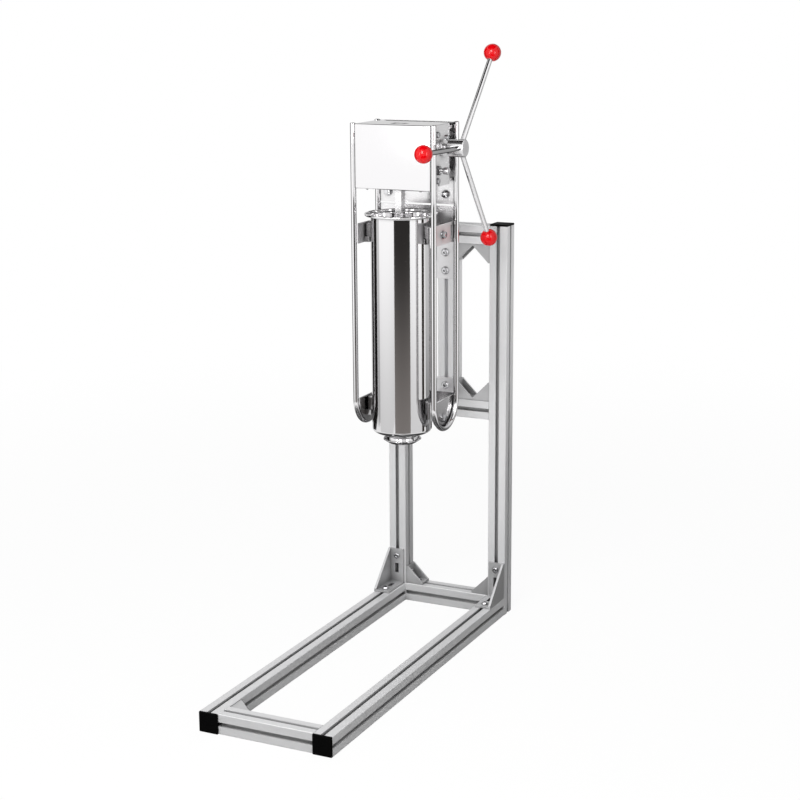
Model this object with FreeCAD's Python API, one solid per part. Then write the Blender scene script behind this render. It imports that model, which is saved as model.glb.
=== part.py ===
import FreeCAD, Part
import math
import os

# Upright hand churro press on a stand of slotted aluminium profile.
# Frame: +Z up, -Y towards the user, +X to the lever's side, millimetres.
# The origin is on the floor, on the centre plane, under the land of the rear crossbar's
# underside between its front edge and its slot.

os.makedirs("parts", exist_ok=True)

X = FreeCAD.Vector(1, 0, 0)
Y = FreeCAD.Vector(0, 1, 0)
Z = FreeCAD.Vector(0, 0, 1)

# ---------------------------------------------------------------- stand: slotted profile
PROFILE = 40.0
PROFILE_ROUND = 1.5
SLOT_OPENING = 8.2
SLOT_LIP = 4.5
CHAMBER_WIDTH = 20.0
CHAMBER_WALL = 2.5
CHAMBER_FLOOR = 9.0
SLOT_DEPTH = 12.3
CORE_BORE = 6.8
STAND_WIDTH = 280.0
ARM_LENGTH = 807.0
POST_HEIGHT = 860.0
LOWER_BAR_TOP = 480.0
CAP_THICKNESS = 4.0
CAP_ROUND = 1.5
CAP_PEG_LENGTH = 10.0
CAP_PEG_CLEARANCE = 0.1

# ---------------------------------------------------------------- stand: brackets and screws
CORNER_LEG = 80.0
CORNER_WIDTH = 36.0
CORNER_PLATE = 5.0
CORNER_RIB = 5.0
CORNER_NOSE = 7.0
CORNER_SCREW_INSET = 16.0
CORNER_SLOT_START = 24.0
CORNER_SLOT_TO_SCREW = 18.0
GUSSET_LEG = 40.0
GUSSET_WIDTH = 35.0
GUSSET_PLATE = 5.0
GUSSET_RIB = 4.0
GUSSET_NOSE = 4.0
GUSSET_SCREW = 22.0
SCREW_SLOT_GAP = 0.1
SCREW_HOLE_GAP = 0.3
SCREW_HEAD = 14.0
SCREW_HEAD_HEIGHT = 4.6
SCREW_SOCKET = 5.0
SCREW_SOCKET_DEPTH = 2.6
SCREW_REACH = 8.0
NUT_LENGTH = 16.0
NUT_WIDTH = 15.0
NUT_HEIGHT = 4.5
NUT_CLEARANCE = 0.2
NUT_BORE_CLEARANCE = 0.1

# ---------------------------------------------------------------- press: side rods
ROD_DIAMETER = 11.0
ROD_REAR_REACH = 146.5
ROD_ABOVE_HEAD = 1.0
LOOP_BELOW_BAR_TOP = 12.5
ROD_CHAMFER = 1.0

# ---------------------------------------------------------------- press: barrel
BARREL_AHEAD_OF_SHAFT = 20.0
BARREL_RADIUS = 61.5
BARREL_WALL = 1.5
BARREL_BELOW_LOOP = 10.5
BARREL_ABOVE_POSTS = 49.0
BARREL_TO_PLATE = 18.5
BARREL_EDGE_ROUND = 9.0
RIM_FLARE = 12.5
RIM_BEAD = 2.6
RIM_BEAD_START_ANGLE = -150.0
RIM_BEAD_END_ANGLE = 120.0
RIM_FLARE_HEIGHT = 8.0
RIM_CLEARANCE = 1.25
NECK_RADIUS = 29.5
NECK_WALL = 5.0
NECK_LENGTH = 18.0
DIE_THICKNESS = 3.0
DIE_EDGE_GAP = 0.4
DIE_STAR_OUTER = 9.0
DIE_STAR_INNER = 5.5
DIE_STAR_POINTS = 8
RING_LIP_RADIUS = 39.4
RING_LIP_RISE = 9.0
RING_SHEET = 2.5
RING_MOUTH_RADIUS = 19.0
RING_FOOT_RADIUS = 30.0
RING_COLLAR_WALL = 2.5
RING_COLLAR_RISE = 12.0
RING_FIT = 0.08
EAR_HEIGHT = 34.0
EAR_WIDTH = 8.0
EAR_TIP_GAP = 4.0
CRADLE_DEPTH = 12.0
CRADLE_SHEET = 3.0
CRADLE_LIP = 8.0
CRADLE_CLEARANCE = 0.3

# ---------------------------------------------------------------- press: plates between the rods
PLATE = 3.0
TAB_HEIGHT = 6.0
REAR_WINDOW = 9.0
WINDOW_MARGIN = 5.0
UPPER_HOLDER_BELOW_RIM = 42.5
UPPER_HOLDER_HEIGHT = 41.0
LOWER_BOLT_ABOVE_LOOP = 20.5
LOWER_HOLDER_RISE = 4.0
LOOP_WINDOW_ROD_GAP = 3.25
LOOP_WINDOW_WIDTH = 8.0
LOOP_WINDOW_START_ANGLE = -78.0
LOOP_WINDOW_END_ANGLE = -6.0
BACK_PLATE_SETBACK = 0.5
UPPER_CROSS_BELOW_POSTS = 16.0
CROSS_TO_BACK_PLATE = 4.0
LOWER_CROSS_BELOW_MOUNT = 2.0
LOWER_CROSS_ABOVE_MOUNT = 4.0
HOLDER_BOLT_SHANK = 8.0
HOLDER_BOLT_FLATS = 13.0
HOLDER_BOLT_HEAD = 5.5
HOLDER_BOLT_WASHER = 17.0
HOLDER_WASHER_THICKNESS = 1.6
BOLT_HOLE_CLEARANCE = 0.15

# ---------------------------------------------------------------- press: head
HEAD_ABOVE_BARREL = 49.0
COVER_SHEET = 1.5
COVER_SIDE_INSET = 1.0
COVER_REAR_TO_ROD = 22.0
COVER_AHEAD_OF_ROD = 3.5
COVER_LIP = 12.0
RACK_WINDOW_WIDTH = 32.0
RACK_WINDOW_GAP = 1.5
SIDE_PLATE_LIFT = 7.0
VENT_LENGTH = 8.0
VENT_HEIGHT = 4.0
VENT_SETBACK = 34.0
LOWER_VENT_RISE = 9.0
UPPER_VENT_RISE = 21.0
BACK_PLATE_ABOVE_BARREL = 12.0
BACK_BOLT_INSET = 18.5
BACK_BOLT_RISE = 20.0
GUIDE_THICKNESS = 14.0
GUIDE_WALL = 9.0
GUIDE_ABOVE_PINION = 4.0
LOWER_GUIDE_RISE = 18.0
TIE_BAR_DIAMETER = 12.0
TIE_BAR_ABOVE_SHAFT = 18.0
TIE_BAR_BEHIND_SHAFT = 20.0
HEAD_SCREW_SHANK = 6.0
HEAD_SCREW_FLATS = 10.0
HEAD_SCREW_HEAD = 4.0
HEAD_SCREW_REACH = 12.0
LIP_SCREW_INSET = 23.0
LIP_SCREW_HEAD = 5.0
LIP_SCREW_HEIGHT = 2.2

# ---------------------------------------------------------------- drive: pinion, rack, piston
MODULE = 2.0
PINION_TEETH = 14
PINION_WIDTH = 16.0
PINION_ADDENDUM = 2.0
PINION_DEDENDUM = 2.0
PRESSURE_ANGLE = 20.0
MESH_GAP = 0.1
BACKLASH = 0.3
SHAFT_ABOVE_LOCK = 43.0
SHAFT_BELOW_TOP = 47.0
SHAFT_DIAMETER = 16.0
BUSH_WALL = 3.0
BUSH_FLANGE = 34.0
BUSH_FLANGE_THICKNESS = 5.0
SHAFT_FIT = 0.05
COLLAR_DIAMETER = 26.0
COLLAR_WIDTH = 7.0
COLLAR_GAP = 0.5
RACK_WIDTH = 14.0
RACK_DEPTH = 20.0
RACK_ADDENDUM = 1.5
RACK_DEDENDUM = 2.3
RACK_SLIDE_GAP = 0.3
RACK_END_BORE = 6.8
RACK_END_BORE_DEPTH = 16.0
PISTON_LIFT = 1.0
PISTON_DISC = 4.0
PISTON_SEAL = 6.0
PISTON_DISC_GAP = 1.4
SEAL_GAP = 0.3
FOOT_RADIUS = 22.0
FOOT_HEIGHT = 11.0

# ---------------------------------------------------------------- drive: lever
HUB_DIAMETER = 35.0
HUB_TO_BUSH = 10.0
HUB_LENGTH = 35.0
HUB_CHAMFER = 1.5
SPOKE_DIAMETER = 10.0
SPOKE_ROOT_FROM_HUB_START = 24.0
SPOKE_ROOT_RADIUS = 9.5
SPOKE_COUNT = 3
SPOKE_PHASE_ANGLE = -62.0
KNOB_DIAMETER = 35.0
KNOB_FROM_HUB_START = 43.0
KNOB_RADIUS_FROM_SHAFT = 214.0
KNOB_SEAT_DEPTH = 15.0

# ---------------------------------------------------------------- drive: rack lock
LOCK_ABOVE_GUIDE = 21.0
LOCK_SHANK = 10.0
LOCK_GAP = 3.3
LOCK_NUT_FLATS = 16.0
LOCK_NUT_HEIGHT = 7.0
LOCK_KNOB_DIAMETER = 14.0
LOCK_KNOB_TO_NUT = 7.0
LOCK_KNOB_LENGTH = 11.0

# ---------------------------------------------------------------- mount of the press on the stand
MOUNT_WIDTH = 40.0
MOUNT_PLATE = 5.0
UPPER_MOUNT_ABOVE_POSTS = 24.0
SHELF_BELOW_POSTS = 24.0
HIGH_SCREW_BELOW_SHELF = 37.0
LOW_SCREW_BELOW_SHELF = 76.0
UPPER_MOUNT_BELOW_SCREW = 18.0
LOWER_MOUNT_ABOVE_BAR = 6.0
LOWER_MOUNT_HEIGHT = 40.0
LOWER_MOUNT_SCREW_RISE = 23.0
MOUNT_SCREW_HEAD = 18.0
MOUNT_SCREW_HEAD_HEIGHT = 6.0

# ---------------------------------------------------------------- places worked out from the sizes
SCREW_SHANK = SLOT_OPENING - 2 * SCREW_SLOT_GAP
SCREW_HOLE = SCREW_SHANK + 2 * SCREW_HOLE_GAP
POST_FRONT = -(PROFILE - SLOT_OPENING) / 4
POST_MIDDLE = POST_FRONT + PROFILE / 2
MEMBER_X = (STAND_WIDTH - PROFILE) / 2
INNER_X = STAND_WIDTH / 2 - PROFILE
ARM_END = POST_FRONT - ARM_LENGTH
CORNER_SCREW_RUN = CORNER_LEG - CORNER_SCREW_INSET
CORNER_SLOT_END = CORNER_SCREW_RUN - CORNER_SLOT_TO_SCREW

RIM_RADIUS = BARREL_RADIUS + RIM_FLARE
BARREL_BORE = BARREL_RADIUS - BARREL_WALL
ROD_RADIUS = ROD_DIAMETER / 2
PLATE_IN = BARREL_RADIUS + BARREL_TO_PLATE
PLATE_OUT = PLATE_IN + PLATE
ROD_X = PLATE_OUT + ROD_RADIUS
LOOP_RADIUS = RIM_RADIUS + RIM_CLEARANCE - BARREL_AHEAD_OF_SHAFT - BACK_PLATE_SETBACK
ROD_REAR_Y = POST_FRONT - ROD_REAR_REACH
SHAFT_Y = ROD_REAR_Y - LOOP_RADIUS
ROD_FRONT_Y = SHAFT_Y - LOOP_RADIUS
BARREL_Y = SHAFT_Y - BARREL_AHEAD_OF_SHAFT
BACK_FACE_Y = ROD_REAR_Y + BACK_PLATE_SETBACK
COVER_FRONT_Y = ROD_FRONT_Y - COVER_AHEAD_OF_ROD
COVER_REAR_Y = ROD_REAR_Y - COVER_REAR_TO_ROD
COVER_HALF_WIDTH = PLATE_OUT - COVER_SIDE_INSET
BACK_BOLT_X = PLATE_OUT - BACK_BOLT_INSET
LIP_SCREW_X = COVER_HALF_WIDTH - LIP_SCREW_INSET

PITCH_RADIUS = MODULE * PINION_TEETH / 2
TOOTH_PITCH = math.pi * MODULE
RACK_PITCH_Y = SHAFT_Y - PITCH_RADIUS - MESH_GAP
RACK_TIP_Y = RACK_PITCH_Y + RACK_ADDENDUM
RACK_ROOT_Y = RACK_PITCH_Y - RACK_DEDENDUM
RACK_FRONT_Y = RACK_TIP_Y - RACK_DEPTH
LOCK_Y = (RACK_FRONT_Y + RACK_ROOT_Y) / 2
TIE_BAR_Y = SHAFT_Y + TIE_BAR_BEHIND_SHAFT

LOOP_BOTTOM = LOWER_BAR_TOP - LOOP_BELOW_BAR_TOP
LOOP_CENTRE_Z = LOOP_BOTTOM + LOOP_RADIUS
LOWER_HOLDER_BOLT = LOOP_BOTTOM + LOWER_BOLT_ABOVE_LOOP
LOWER_MOUNT_BOTTOM = LOWER_BAR_TOP + LOWER_MOUNT_ABOVE_BAR
LOWER_MOUNT_TOP = LOWER_MOUNT_BOTTOM + LOWER_MOUNT_HEIGHT
LOWER_MOUNT_SCREW = LOWER_MOUNT_BOTTOM + LOWER_MOUNT_SCREW_RISE
LOWER_CROSS_BOTTOM = LOWER_MOUNT_BOTTOM - LOWER_CROSS_BELOW_MOUNT
LOWER_CROSS_TOP = LOWER_MOUNT_TOP + LOWER_CROSS_ABOVE_MOUNT
BARREL_BOTTOM = LOOP_BOTTOM - BARREL_BELOW_LOOP
NECK_BOTTOM = BARREL_BOTTOM - NECK_LENGTH
DIE_BOTTOM = NECK_BOTTOM - DIE_THICKNESS
PISTON_BOTTOM = BARREL_BOTTOM + BARREL_WALL + PISTON_LIFT
PISTON_TOP = PISTON_BOTTOM + 2 * PISTON_DISC + PISTON_SEAL
FOOT_TOP = PISTON_TOP + FOOT_HEIGHT

UPPER_MOUNT_TOP = POST_HEIGHT + UPPER_MOUNT_ABOVE_POSTS
UPPER_MOUNT_SHELF = POST_HEIGHT - SHELF_BELOW_POSTS
UPPER_MOUNT_HIGH_SCREW = UPPER_MOUNT_SHELF - HIGH_SCREW_BELOW_SHELF
UPPER_MOUNT_LOW_SCREW = UPPER_MOUNT_SHELF - LOW_SCREW_BELOW_SHELF
UPPER_MOUNT_BOTTOM = UPPER_MOUNT_LOW_SCREW - UPPER_MOUNT_BELOW_SCREW
BARREL_TOP = POST_HEIGHT + BARREL_ABOVE_POSTS
UPPER_HOLDER_CENTRE = BARREL_TOP - UPPER_HOLDER_BELOW_RIM
BACK_PLATE_BOTTOM = BARREL_TOP + BACK_PLATE_ABOVE_BARREL
BACK_BOLT_HEIGHT = BACK_PLATE_BOTTOM + BACK_BOLT_RISE
UPPER_CROSS_BOTTOM = POST_HEIGHT - UPPER_CROSS_BELOW_POSTS
UPPER_CROSS_TOP = BACK_PLATE_BOTTOM - CROSS_TO_BACK_PLATE
HEAD_BOTTOM = BARREL_TOP + HEAD_ABOVE_BARREL
LOWER_GUIDE_CENTRE = HEAD_BOTTOM + LOWER_GUIDE_RISE
LOCK_HEIGHT = LOWER_GUIDE_CENTRE + LOCK_ABOVE_GUIDE
SHAFT_HEIGHT = LOCK_HEIGHT + SHAFT_ABOVE_LOCK
PINION_TOP = SHAFT_HEIGHT + PITCH_RADIUS + PINION_ADDENDUM
UPPER_GUIDE_CENTRE = PINION_TOP + GUIDE_ABOVE_PINION + GUIDE_THICKNESS / 2
TIE_BAR_HEIGHT = SHAFT_HEIGHT + TIE_BAR_ABOVE_SHAFT
HEAD_TOP = SHAFT_HEIGHT + SHAFT_BELOW_TOP
ROD_TOP = HEAD_TOP + ROD_ABOVE_HEAD

BUSH_FACE = PLATE_OUT + BUSH_FLANGE_THICKNESS
COLLAR_START = BUSH_FACE + COLLAR_GAP
SHAFT_LEFT_END = COLLAR_START + COLLAR_WIDTH
HUB_START = BUSH_FACE + HUB_TO_BUSH
HUB_END = HUB_START + HUB_LENGTH
SPOKE_ROOT = HUB_START + SPOKE_ROOT_FROM_HUB_START
KNOB_PLANE = HUB_START + KNOB_FROM_HUB_START
LOCK_KNOB_START = PLATE_OUT + LOCK_NUT_HEIGHT + LOCK_KNOB_TO_NUT
LOCK_KNOB_END = LOCK_KNOB_START + LOCK_KNOB_LENGTH


# ---------------------------------------------------------------- building blocks
def box(x_range, y_range, z_range):
    """Box between the lowest and highest value along each axis."""
    x0, x1 = sorted(x_range)
    y0, y1 = sorted(y_range)
    z0, z1 = sorted(z_range)
    return Part.makeBox(x1 - x0, y1 - y0, z1 - z0, FreeCAD.Vector(x0, y0, z0))


def rod(start, end, diameter):
    """Round bar between two points."""
    run = end - start
    return Part.makeCylinder(diameter / 2, run.Length, start, run)


def flat_shape(points, plane, depth_range):
    """Straight-sided outline in the YZ, XZ or XY plane, drawn out across that plane."""
    low, high = sorted(depth_range)
    place = {
        "YZ": lambda a, b: FreeCAD.Vector(low, a, b),
        "XZ": lambda a, b: FreeCAD.Vector(a, low, b),
        "XY": lambda a, b: FreeCAD.Vector(a, b, low),
    }[plane]
    axis = {"YZ": X, "XZ": Y, "XY": Z}[plane]
    corners = [place(a, b) for a, b in points]
    return Part.Face(Part.makePolygon(corners + corners[:1])).extrude(axis * (high - low))


def turned(points, centre_y):
    """Closed outline of (radius, height) points turned about the upright axis at centre_y."""
    corners = [FreeCAD.Vector(r, centre_y, z) for r, z in points]
    face = Part.Face(Part.makePolygon(corners + corners[:1]))
    return face.revolve(FreeCAD.Vector(0, centre_y, 0), Z, 360)


def arc_points(centre, radius, start, end, steps):
    """Points on an arc in the plane of an outline, angles in degrees."""
    points = []
    for i in range(steps + 1):
        angle = math.radians(start + (end - start) * i / steps)
        points.append((centre[0] + radius * math.cos(angle), centre[1] + radius * math.sin(angle)))
    return points


def hexagon(flats, height):
    """Hexagonal bar standing on the origin."""
    corner = flats / 2 / math.cos(math.pi / 6)
    angles = [side * math.pi / 3 for side in range(6)]
    points = [(corner * math.cos(angle), corner * math.sin(angle)) for angle in angles]
    return flat_shape(points, "XY", (0, height))


def placed(shape, origin, up, along):
    """Copy of a shape whose own Z points to up and own X along the other direction."""
    across = up.cross(along)
    matrix = FreeCAD.Matrix(
        along.x, across.x, up.x, origin.x,
        along.y, across.y, up.y, origin.y,
        along.z, across.z, up.z, origin.z,
        0, 0, 0, 1)
    copy = shape.copy()
    copy.Placement = FreeCAD.Placement(matrix)
    return copy


def joined(shapes):
    """One solid from touching shapes."""
    first, rest = shapes[0], shapes[1:]
    return first.fuse(rest).removeSplitter() if rest else first


def drilled(shape, tools):
    """Shape with every tool taken out of it."""
    return shape.cut(tools) if tools else shape


def export(node, shapes):
    """Write one node, from one solid or a group of separate solids."""
    group = shapes if isinstance(shapes, list) else [shapes]
    solids = [solid for shape in group for solid in shape.Solids]
    result = solids[0] if len(solids) == 1 else Part.makeCompound(solids)
    result.exportStep("parts/" + node + ".step")


# ---------------------------------------------------------------- slotted profile and its caps
def profile_bar(length):
    """Slotted profile along +Z from the origin, centred on its axis."""
    half = PROFILE / 2
    blank = box((-half, half), (-half, half), (0, length))
    edges = [e for e in blank.Edges if abs(e.BoundBox.ZLength - length) < 1e-6]
    blank = blank.makeFillet(PROFILE_ROUND, edges)
    lip = half - SLOT_LIP
    slot_side = [
        (half, SLOT_OPENING / 2),
        (lip, SLOT_OPENING / 2),
        (lip, CHAMBER_WIDTH / 2),
        (lip - CHAMBER_WALL, CHAMBER_WIDTH / 2),
        (half - SLOT_DEPTH, CHAMBER_FLOOR / 2),
    ]
    outline = slot_side + [(a, -b) for a, b in reversed(slot_side)]
    slot = flat_shape(outline, "XY", (0, length))
    cuts = []
    for quarter in range(4):
        turned_slot = slot.copy()
        turned_slot.rotate(FreeCAD.Vector(), Z, 90 * quarter)
        cuts.append(turned_slot)
    cuts.append(Part.makeCylinder(CORE_BORE / 2, length))
    return blank.cut(cuts)


def end_cap(origin, outward, along):
    """Square plastic cap on a profile's end, with its peg in the core bore."""
    half = PROFILE / 2
    plate = box((-half, half), (-half, half), (0, CAP_THICKNESS))
    sides = [e for e in plate.Edges if abs(e.BoundBox.ZLength - CAP_THICKNESS) < 1e-6]
    plate = plate.makeFillet(PROFILE_ROUND, sides)
    front = [e for e in plate.Edges if e.BoundBox.ZMin > CAP_THICKNESS - 1e-6]
    plate = plate.makeChamfer(min(CAP_ROUND, CAP_THICKNESS / 2) / 2, front)
    peg_radius = CORE_BORE / 2 - CAP_PEG_CLEARANCE
    peg = Part.makeCylinder(peg_radius, CAP_PEG_LENGTH, FreeCAD.Vector(0, 0, -CAP_PEG_LENGTH))
    return placed(joined([plate, peg]), origin, outward, along)


def make_profiles():
    """The nine lengths of profile."""
    bar_middle = PROFILE / 2
    cross_length = 2 * INNER_X
    for side, name in ((-1, "left"), (1, "right")):
        arm_origin = FreeCAD.Vector(side * MEMBER_X, POST_FRONT, bar_middle)
        export("base_arm_" + name, placed(profile_bar(ARM_LENGTH), arm_origin, -Y, X))
        post_origin = FreeCAD.Vector(side * MEMBER_X, POST_MIDDLE, 0)
        export("rear_post_" + name, placed(profile_bar(POST_HEIGHT), post_origin, Z, X))
    crossbars = {
        "base_front_crossbar": (ARM_END + bar_middle, bar_middle),
        "base_rear_crossbar": (POST_MIDDLE, bar_middle),
        "lower_crossbar": (POST_MIDDLE, LOWER_BAR_TOP - bar_middle),
        "upper_crossbar": (POST_MIDDLE, POST_HEIGHT - bar_middle),
    }
    for node, (bar_y, bar_z) in crossbars.items():
        origin = FreeCAD.Vector(-INNER_X, bar_y, bar_z)
        export(node, placed(profile_bar(cross_length), origin, X, Y))
    middle = profile_bar(POST_HEIGHT - PROFILE - LOWER_BAR_TOP)
    export("middle_post", placed(middle, FreeCAD.Vector(0, POST_MIDDLE, LOWER_BAR_TOP), Z, X))


def make_caps():
    """Caps on the front ends of the arms and on the tops of the posts."""
    arm_caps = []
    post_caps = []
    for side in (-1, 1):
        arm_end = FreeCAD.Vector(side * MEMBER_X, ARM_END, PROFILE / 2)
        arm_caps.append(end_cap(arm_end, -Y, X))
        post_end = FreeCAD.Vector(side * MEMBER_X, POST_MIDDLE, POST_HEIGHT)
        post_caps.append(end_cap(post_end, Z, X))
    export("arm_end_caps", arm_caps)
    export("post_top_caps", post_caps)


# ---------------------------------------------------------------- screws and slot nuts
def button_screw(head_diameter, head_height, length):
    """Domed socket screw: underside of the head at the origin, shank down -Z."""
    radius = head_diameter / 2
    dome = (radius ** 2 + head_height ** 2) / (2 * head_height)
    ball = Part.makeSphere(dome, FreeCAD.Vector(0, 0, head_height - dome))
    head = ball.common(Part.makeCylinder(radius, head_height))
    socket = hexagon(SCREW_SOCKET, SCREW_SOCKET_DEPTH)
    socket.translate(FreeCAD.Vector(0, 0, head_height - SCREW_SOCKET_DEPTH))
    shank = Part.makeCylinder(SCREW_SHANK / 2, length, FreeCAD.Vector(0, 0, -length))
    return joined([head, shank]).cut(socket)


def slot_nut():
    """Slot nut: the profile's surface at the origin, the slot along X."""
    half_length = NUT_LENGTH / 2
    neck_half = SLOT_OPENING / 2 - NUT_CLEARANCE
    floor = -SLOT_LIP - NUT_CLEARANCE
    neck = box((-half_length, half_length), (-neck_half, neck_half), (floor, -NUT_CLEARANCE))
    body_half = NUT_WIDTH / 2
    bevel = NUT_WIDTH / 5
    body = flat_shape(
        [(-body_half, floor), (body_half, floor), (body_half, floor - CHAMBER_WALL + NUT_CLEARANCE),
         (body_half - bevel, floor - NUT_HEIGHT), (bevel - body_half, floor - NUT_HEIGHT),
         (-body_half, floor - CHAMBER_WALL + NUT_CLEARANCE)],
        "YZ", (-half_length, half_length))
    bore_radius = SCREW_SHANK / 2 + NUT_BORE_CLEARANCE
    bore = Part.makeCylinder(bore_radius, SLOT_DEPTH, FreeCAD.Vector(0, 0, -SLOT_DEPTH))
    return joined([neck, body]).cut(bore)


def screw_and_nut(seat, outward, slot_direction, plate):
    """Screw through a bracket's plate whose outer face holds seat, and its slot nut."""
    screw = button_screw(SCREW_HEAD, SCREW_HEAD_HEIGHT, plate + SCREW_REACH)
    nut = slot_nut()
    surface = seat - outward * plate
    return placed(screw, seat, outward, slot_direction), placed(nut, surface, outward, slot_direction)


# ---------------------------------------------------------------- large corner brackets
def corner_bracket(side):
    """Angle bracket between an arm's top and its post, ribbed on the outer side."""
    outer = side * STAND_WIDTH / 2
    inner = outer - side * CORNER_WIDTH
    corner_z = PROFILE
    width = (inner, outer)
    upright = box(width, (POST_FRONT - CORNER_PLATE, POST_FRONT), (corner_z, corner_z + CORNER_LEG))
    foot = box(width, (POST_FRONT - CORNER_LEG, POST_FRONT), (corner_z, corner_z + CORNER_PLATE))
    rib = flat_shape(
        [(POST_FRONT, corner_z), (POST_FRONT - CORNER_LEG, corner_z),
         (POST_FRONT - CORNER_LEG, corner_z + CORNER_NOSE),
         (POST_FRONT - CORNER_NOSE, corner_z + CORNER_LEG), (POST_FRONT, corner_z + CORNER_LEG)],
        "YZ", (outer, outer - side * CORNER_RIB))
    column = side * MEMBER_X
    slot_half = SCREW_HOLE / 2
    hole_depth = 2 * CORNER_PLATE
    upright_hole = rod(
        FreeCAD.Vector(column, POST_FRONT - hole_depth, corner_z + CORNER_SCREW_RUN),
        FreeCAD.Vector(column, POST_FRONT, corner_z + CORNER_SCREW_RUN), SCREW_HOLE)
    foot_hole = rod(
        FreeCAD.Vector(column, POST_FRONT - CORNER_SCREW_RUN, corner_z),
        FreeCAD.Vector(column, POST_FRONT - CORNER_SCREW_RUN, corner_z + hole_depth), SCREW_HOLE)
    upright_slot = box(
        (column - slot_half, column + slot_half), (POST_FRONT - hole_depth, POST_FRONT),
        (corner_z + CORNER_SLOT_START, corner_z + CORNER_SLOT_END))
    foot_slot = box(
        (column - slot_half, column + slot_half),
        (POST_FRONT - CORNER_SLOT_END, POST_FRONT - CORNER_SLOT_START), (corner_z, corner_z + hole_depth))
    return drilled(joined([upright, foot, rib]), [upright_hole, foot_hole, upright_slot, foot_slot])


def make_corner_brackets():
    """Both large brackets with their screws; gives back their slot nuts."""
    screws = []
    nuts = []
    for side, name in ((-1, "left"), (1, "right")):
        export("corner_bracket_" + name, corner_bracket(side))
        column = side * MEMBER_X
        upright_seat = FreeCAD.Vector(column, POST_FRONT - CORNER_PLATE, PROFILE + CORNER_SCREW_RUN)
        foot_seat = FreeCAD.Vector(column, POST_FRONT - CORNER_SCREW_RUN, PROFILE + CORNER_PLATE)
        for seat, outward, slot_direction in ((upright_seat, -Y, Z), (foot_seat, Z, Y)):
            screw, nut = screw_and_nut(seat, outward, slot_direction, CORNER_PLATE)
            screws.append(screw)
            nuts.append(nut)
    export("corner_bracket_screws", screws)
    return nuts


# ---------------------------------------------------------------- small gussets
def gusset():
    """Cast gusset with its corner at the origin and its legs along +X and +Z."""
    half = GUSSET_WIDTH / 2
    foot = box((0, GUSSET_LEG), (-half, half), (0, GUSSET_PLATE))
    wall = box((0, GUSSET_PLATE), (-half, half), (0, GUSSET_LEG))
    outline = [
        (0, 0), (GUSSET_LEG, 0), (GUSSET_LEG, GUSSET_NOSE), (GUSSET_NOSE, GUSSET_LEG), (0, GUSSET_LEG)]
    ribs = [flat_shape(outline, "XZ", (side * half, side * (half - GUSSET_RIB))) for side in (-1, 1)]
    foot_hole = Part.makeCylinder(SCREW_HOLE / 2, GUSSET_PLATE, FreeCAD.Vector(GUSSET_SCREW, 0, 0))
    wall_hole = Part.makeCylinder(SCREW_HOLE / 2, GUSSET_PLATE, FreeCAD.Vector(0, 0, GUSSET_SCREW), X)
    return drilled(joined([foot, wall] + ribs), [foot_hole, wall_hole])


def gusset_set(node, corners):
    """Export gussets at (corner, leg direction, other leg direction); return screws and nuts."""
    gussets = []
    screws = []
    nuts = []
    for corner, leg, other in corners:
        gussets.append(placed(gusset(), corner, other, leg))
        for run, outward in ((leg, other), (other, leg)):
            seat = corner + run * GUSSET_SCREW + outward * GUSSET_PLATE
            screw, nut = screw_and_nut(seat, outward, run, GUSSET_PLATE)
            screws.append(screw)
            nuts.append(nut)
    export(node, gussets)
    return screws, nuts


def make_gussets():
    """Gussets of the upper frame, the lower frame and the base; gives back their slot nuts."""
    half = PROFILE / 2
    frame_sides = ((-INNER_X, X), (-half, -X), (half, X), (INNER_X, -X))
    upper = [(FreeCAD.Vector(x, POST_MIDDLE, POST_HEIGHT - PROFILE), run, -Z) for x, run in frame_sides]
    lower = [(FreeCAD.Vector(x, POST_MIDDLE, LOWER_BAR_TOP), run, Z) for x, run in frame_sides]
    base = [(FreeCAD.Vector(x, POST_MIDDLE, PROFILE), run, Z) for x, run in (frame_sides[0], frame_sides[3])]
    base.append((FreeCAD.Vector(-INNER_X, ARM_END + PROFILE, half), X, Y))
    screws = []
    nuts = []
    sets = {"upper_frame_gussets": upper, "lower_frame_gussets": lower, "base_gussets": base}
    for node, corners in sets.items():
        more_screws, more_nuts = gusset_set(node, corners)
        screws += more_screws
        nuts += more_nuts
    export("gusset_screws", screws)
    return nuts


# ---------------------------------------------------------------- mount of the press on the middle post
def flange_screw_height(shelf, top):
    """Height of the screw through a mount bracket's front flange."""
    return (shelf + MOUNT_PLATE + top) / 2


def mount_bracket(bottom, shelf, top, screw_heights, cheek_range):
    """Bracket from the middle post's face to a cross plate: post leg, shelf, cheeks and front flange."""
    half = MOUNT_WIDTH / 2
    front = BACK_FACE_Y + PLATE
    width = (-half, half)
    post_leg = box(width, (POST_FRONT - MOUNT_PLATE, POST_FRONT), (bottom, top))
    shelf_plate = box(width, (front, POST_FRONT), (shelf, shelf + MOUNT_PLATE))
    flange = box(width, (front, front + MOUNT_PLATE), (shelf, top))
    depth = (front, POST_FRONT)
    cheeks = [box((side * half, side * (half - PLATE)), depth, cheek_range) for side in (-1, 1)]
    post_holes = [
        rod(FreeCAD.Vector(0, POST_FRONT - MOUNT_PLATE, z), FreeCAD.Vector(0, POST_FRONT, z), SCREW_HOLE)
        for z in screw_heights]
    joint_z = flange_screw_height(shelf, top)
    flange_hole = rod(
        FreeCAD.Vector(0, front, joint_z), FreeCAD.Vector(0, front + MOUNT_PLATE, joint_z), SCREW_HOLE)
    return drilled(joined([post_leg, shelf_plate, flange] + cheeks), post_holes + [flange_hole])


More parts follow.
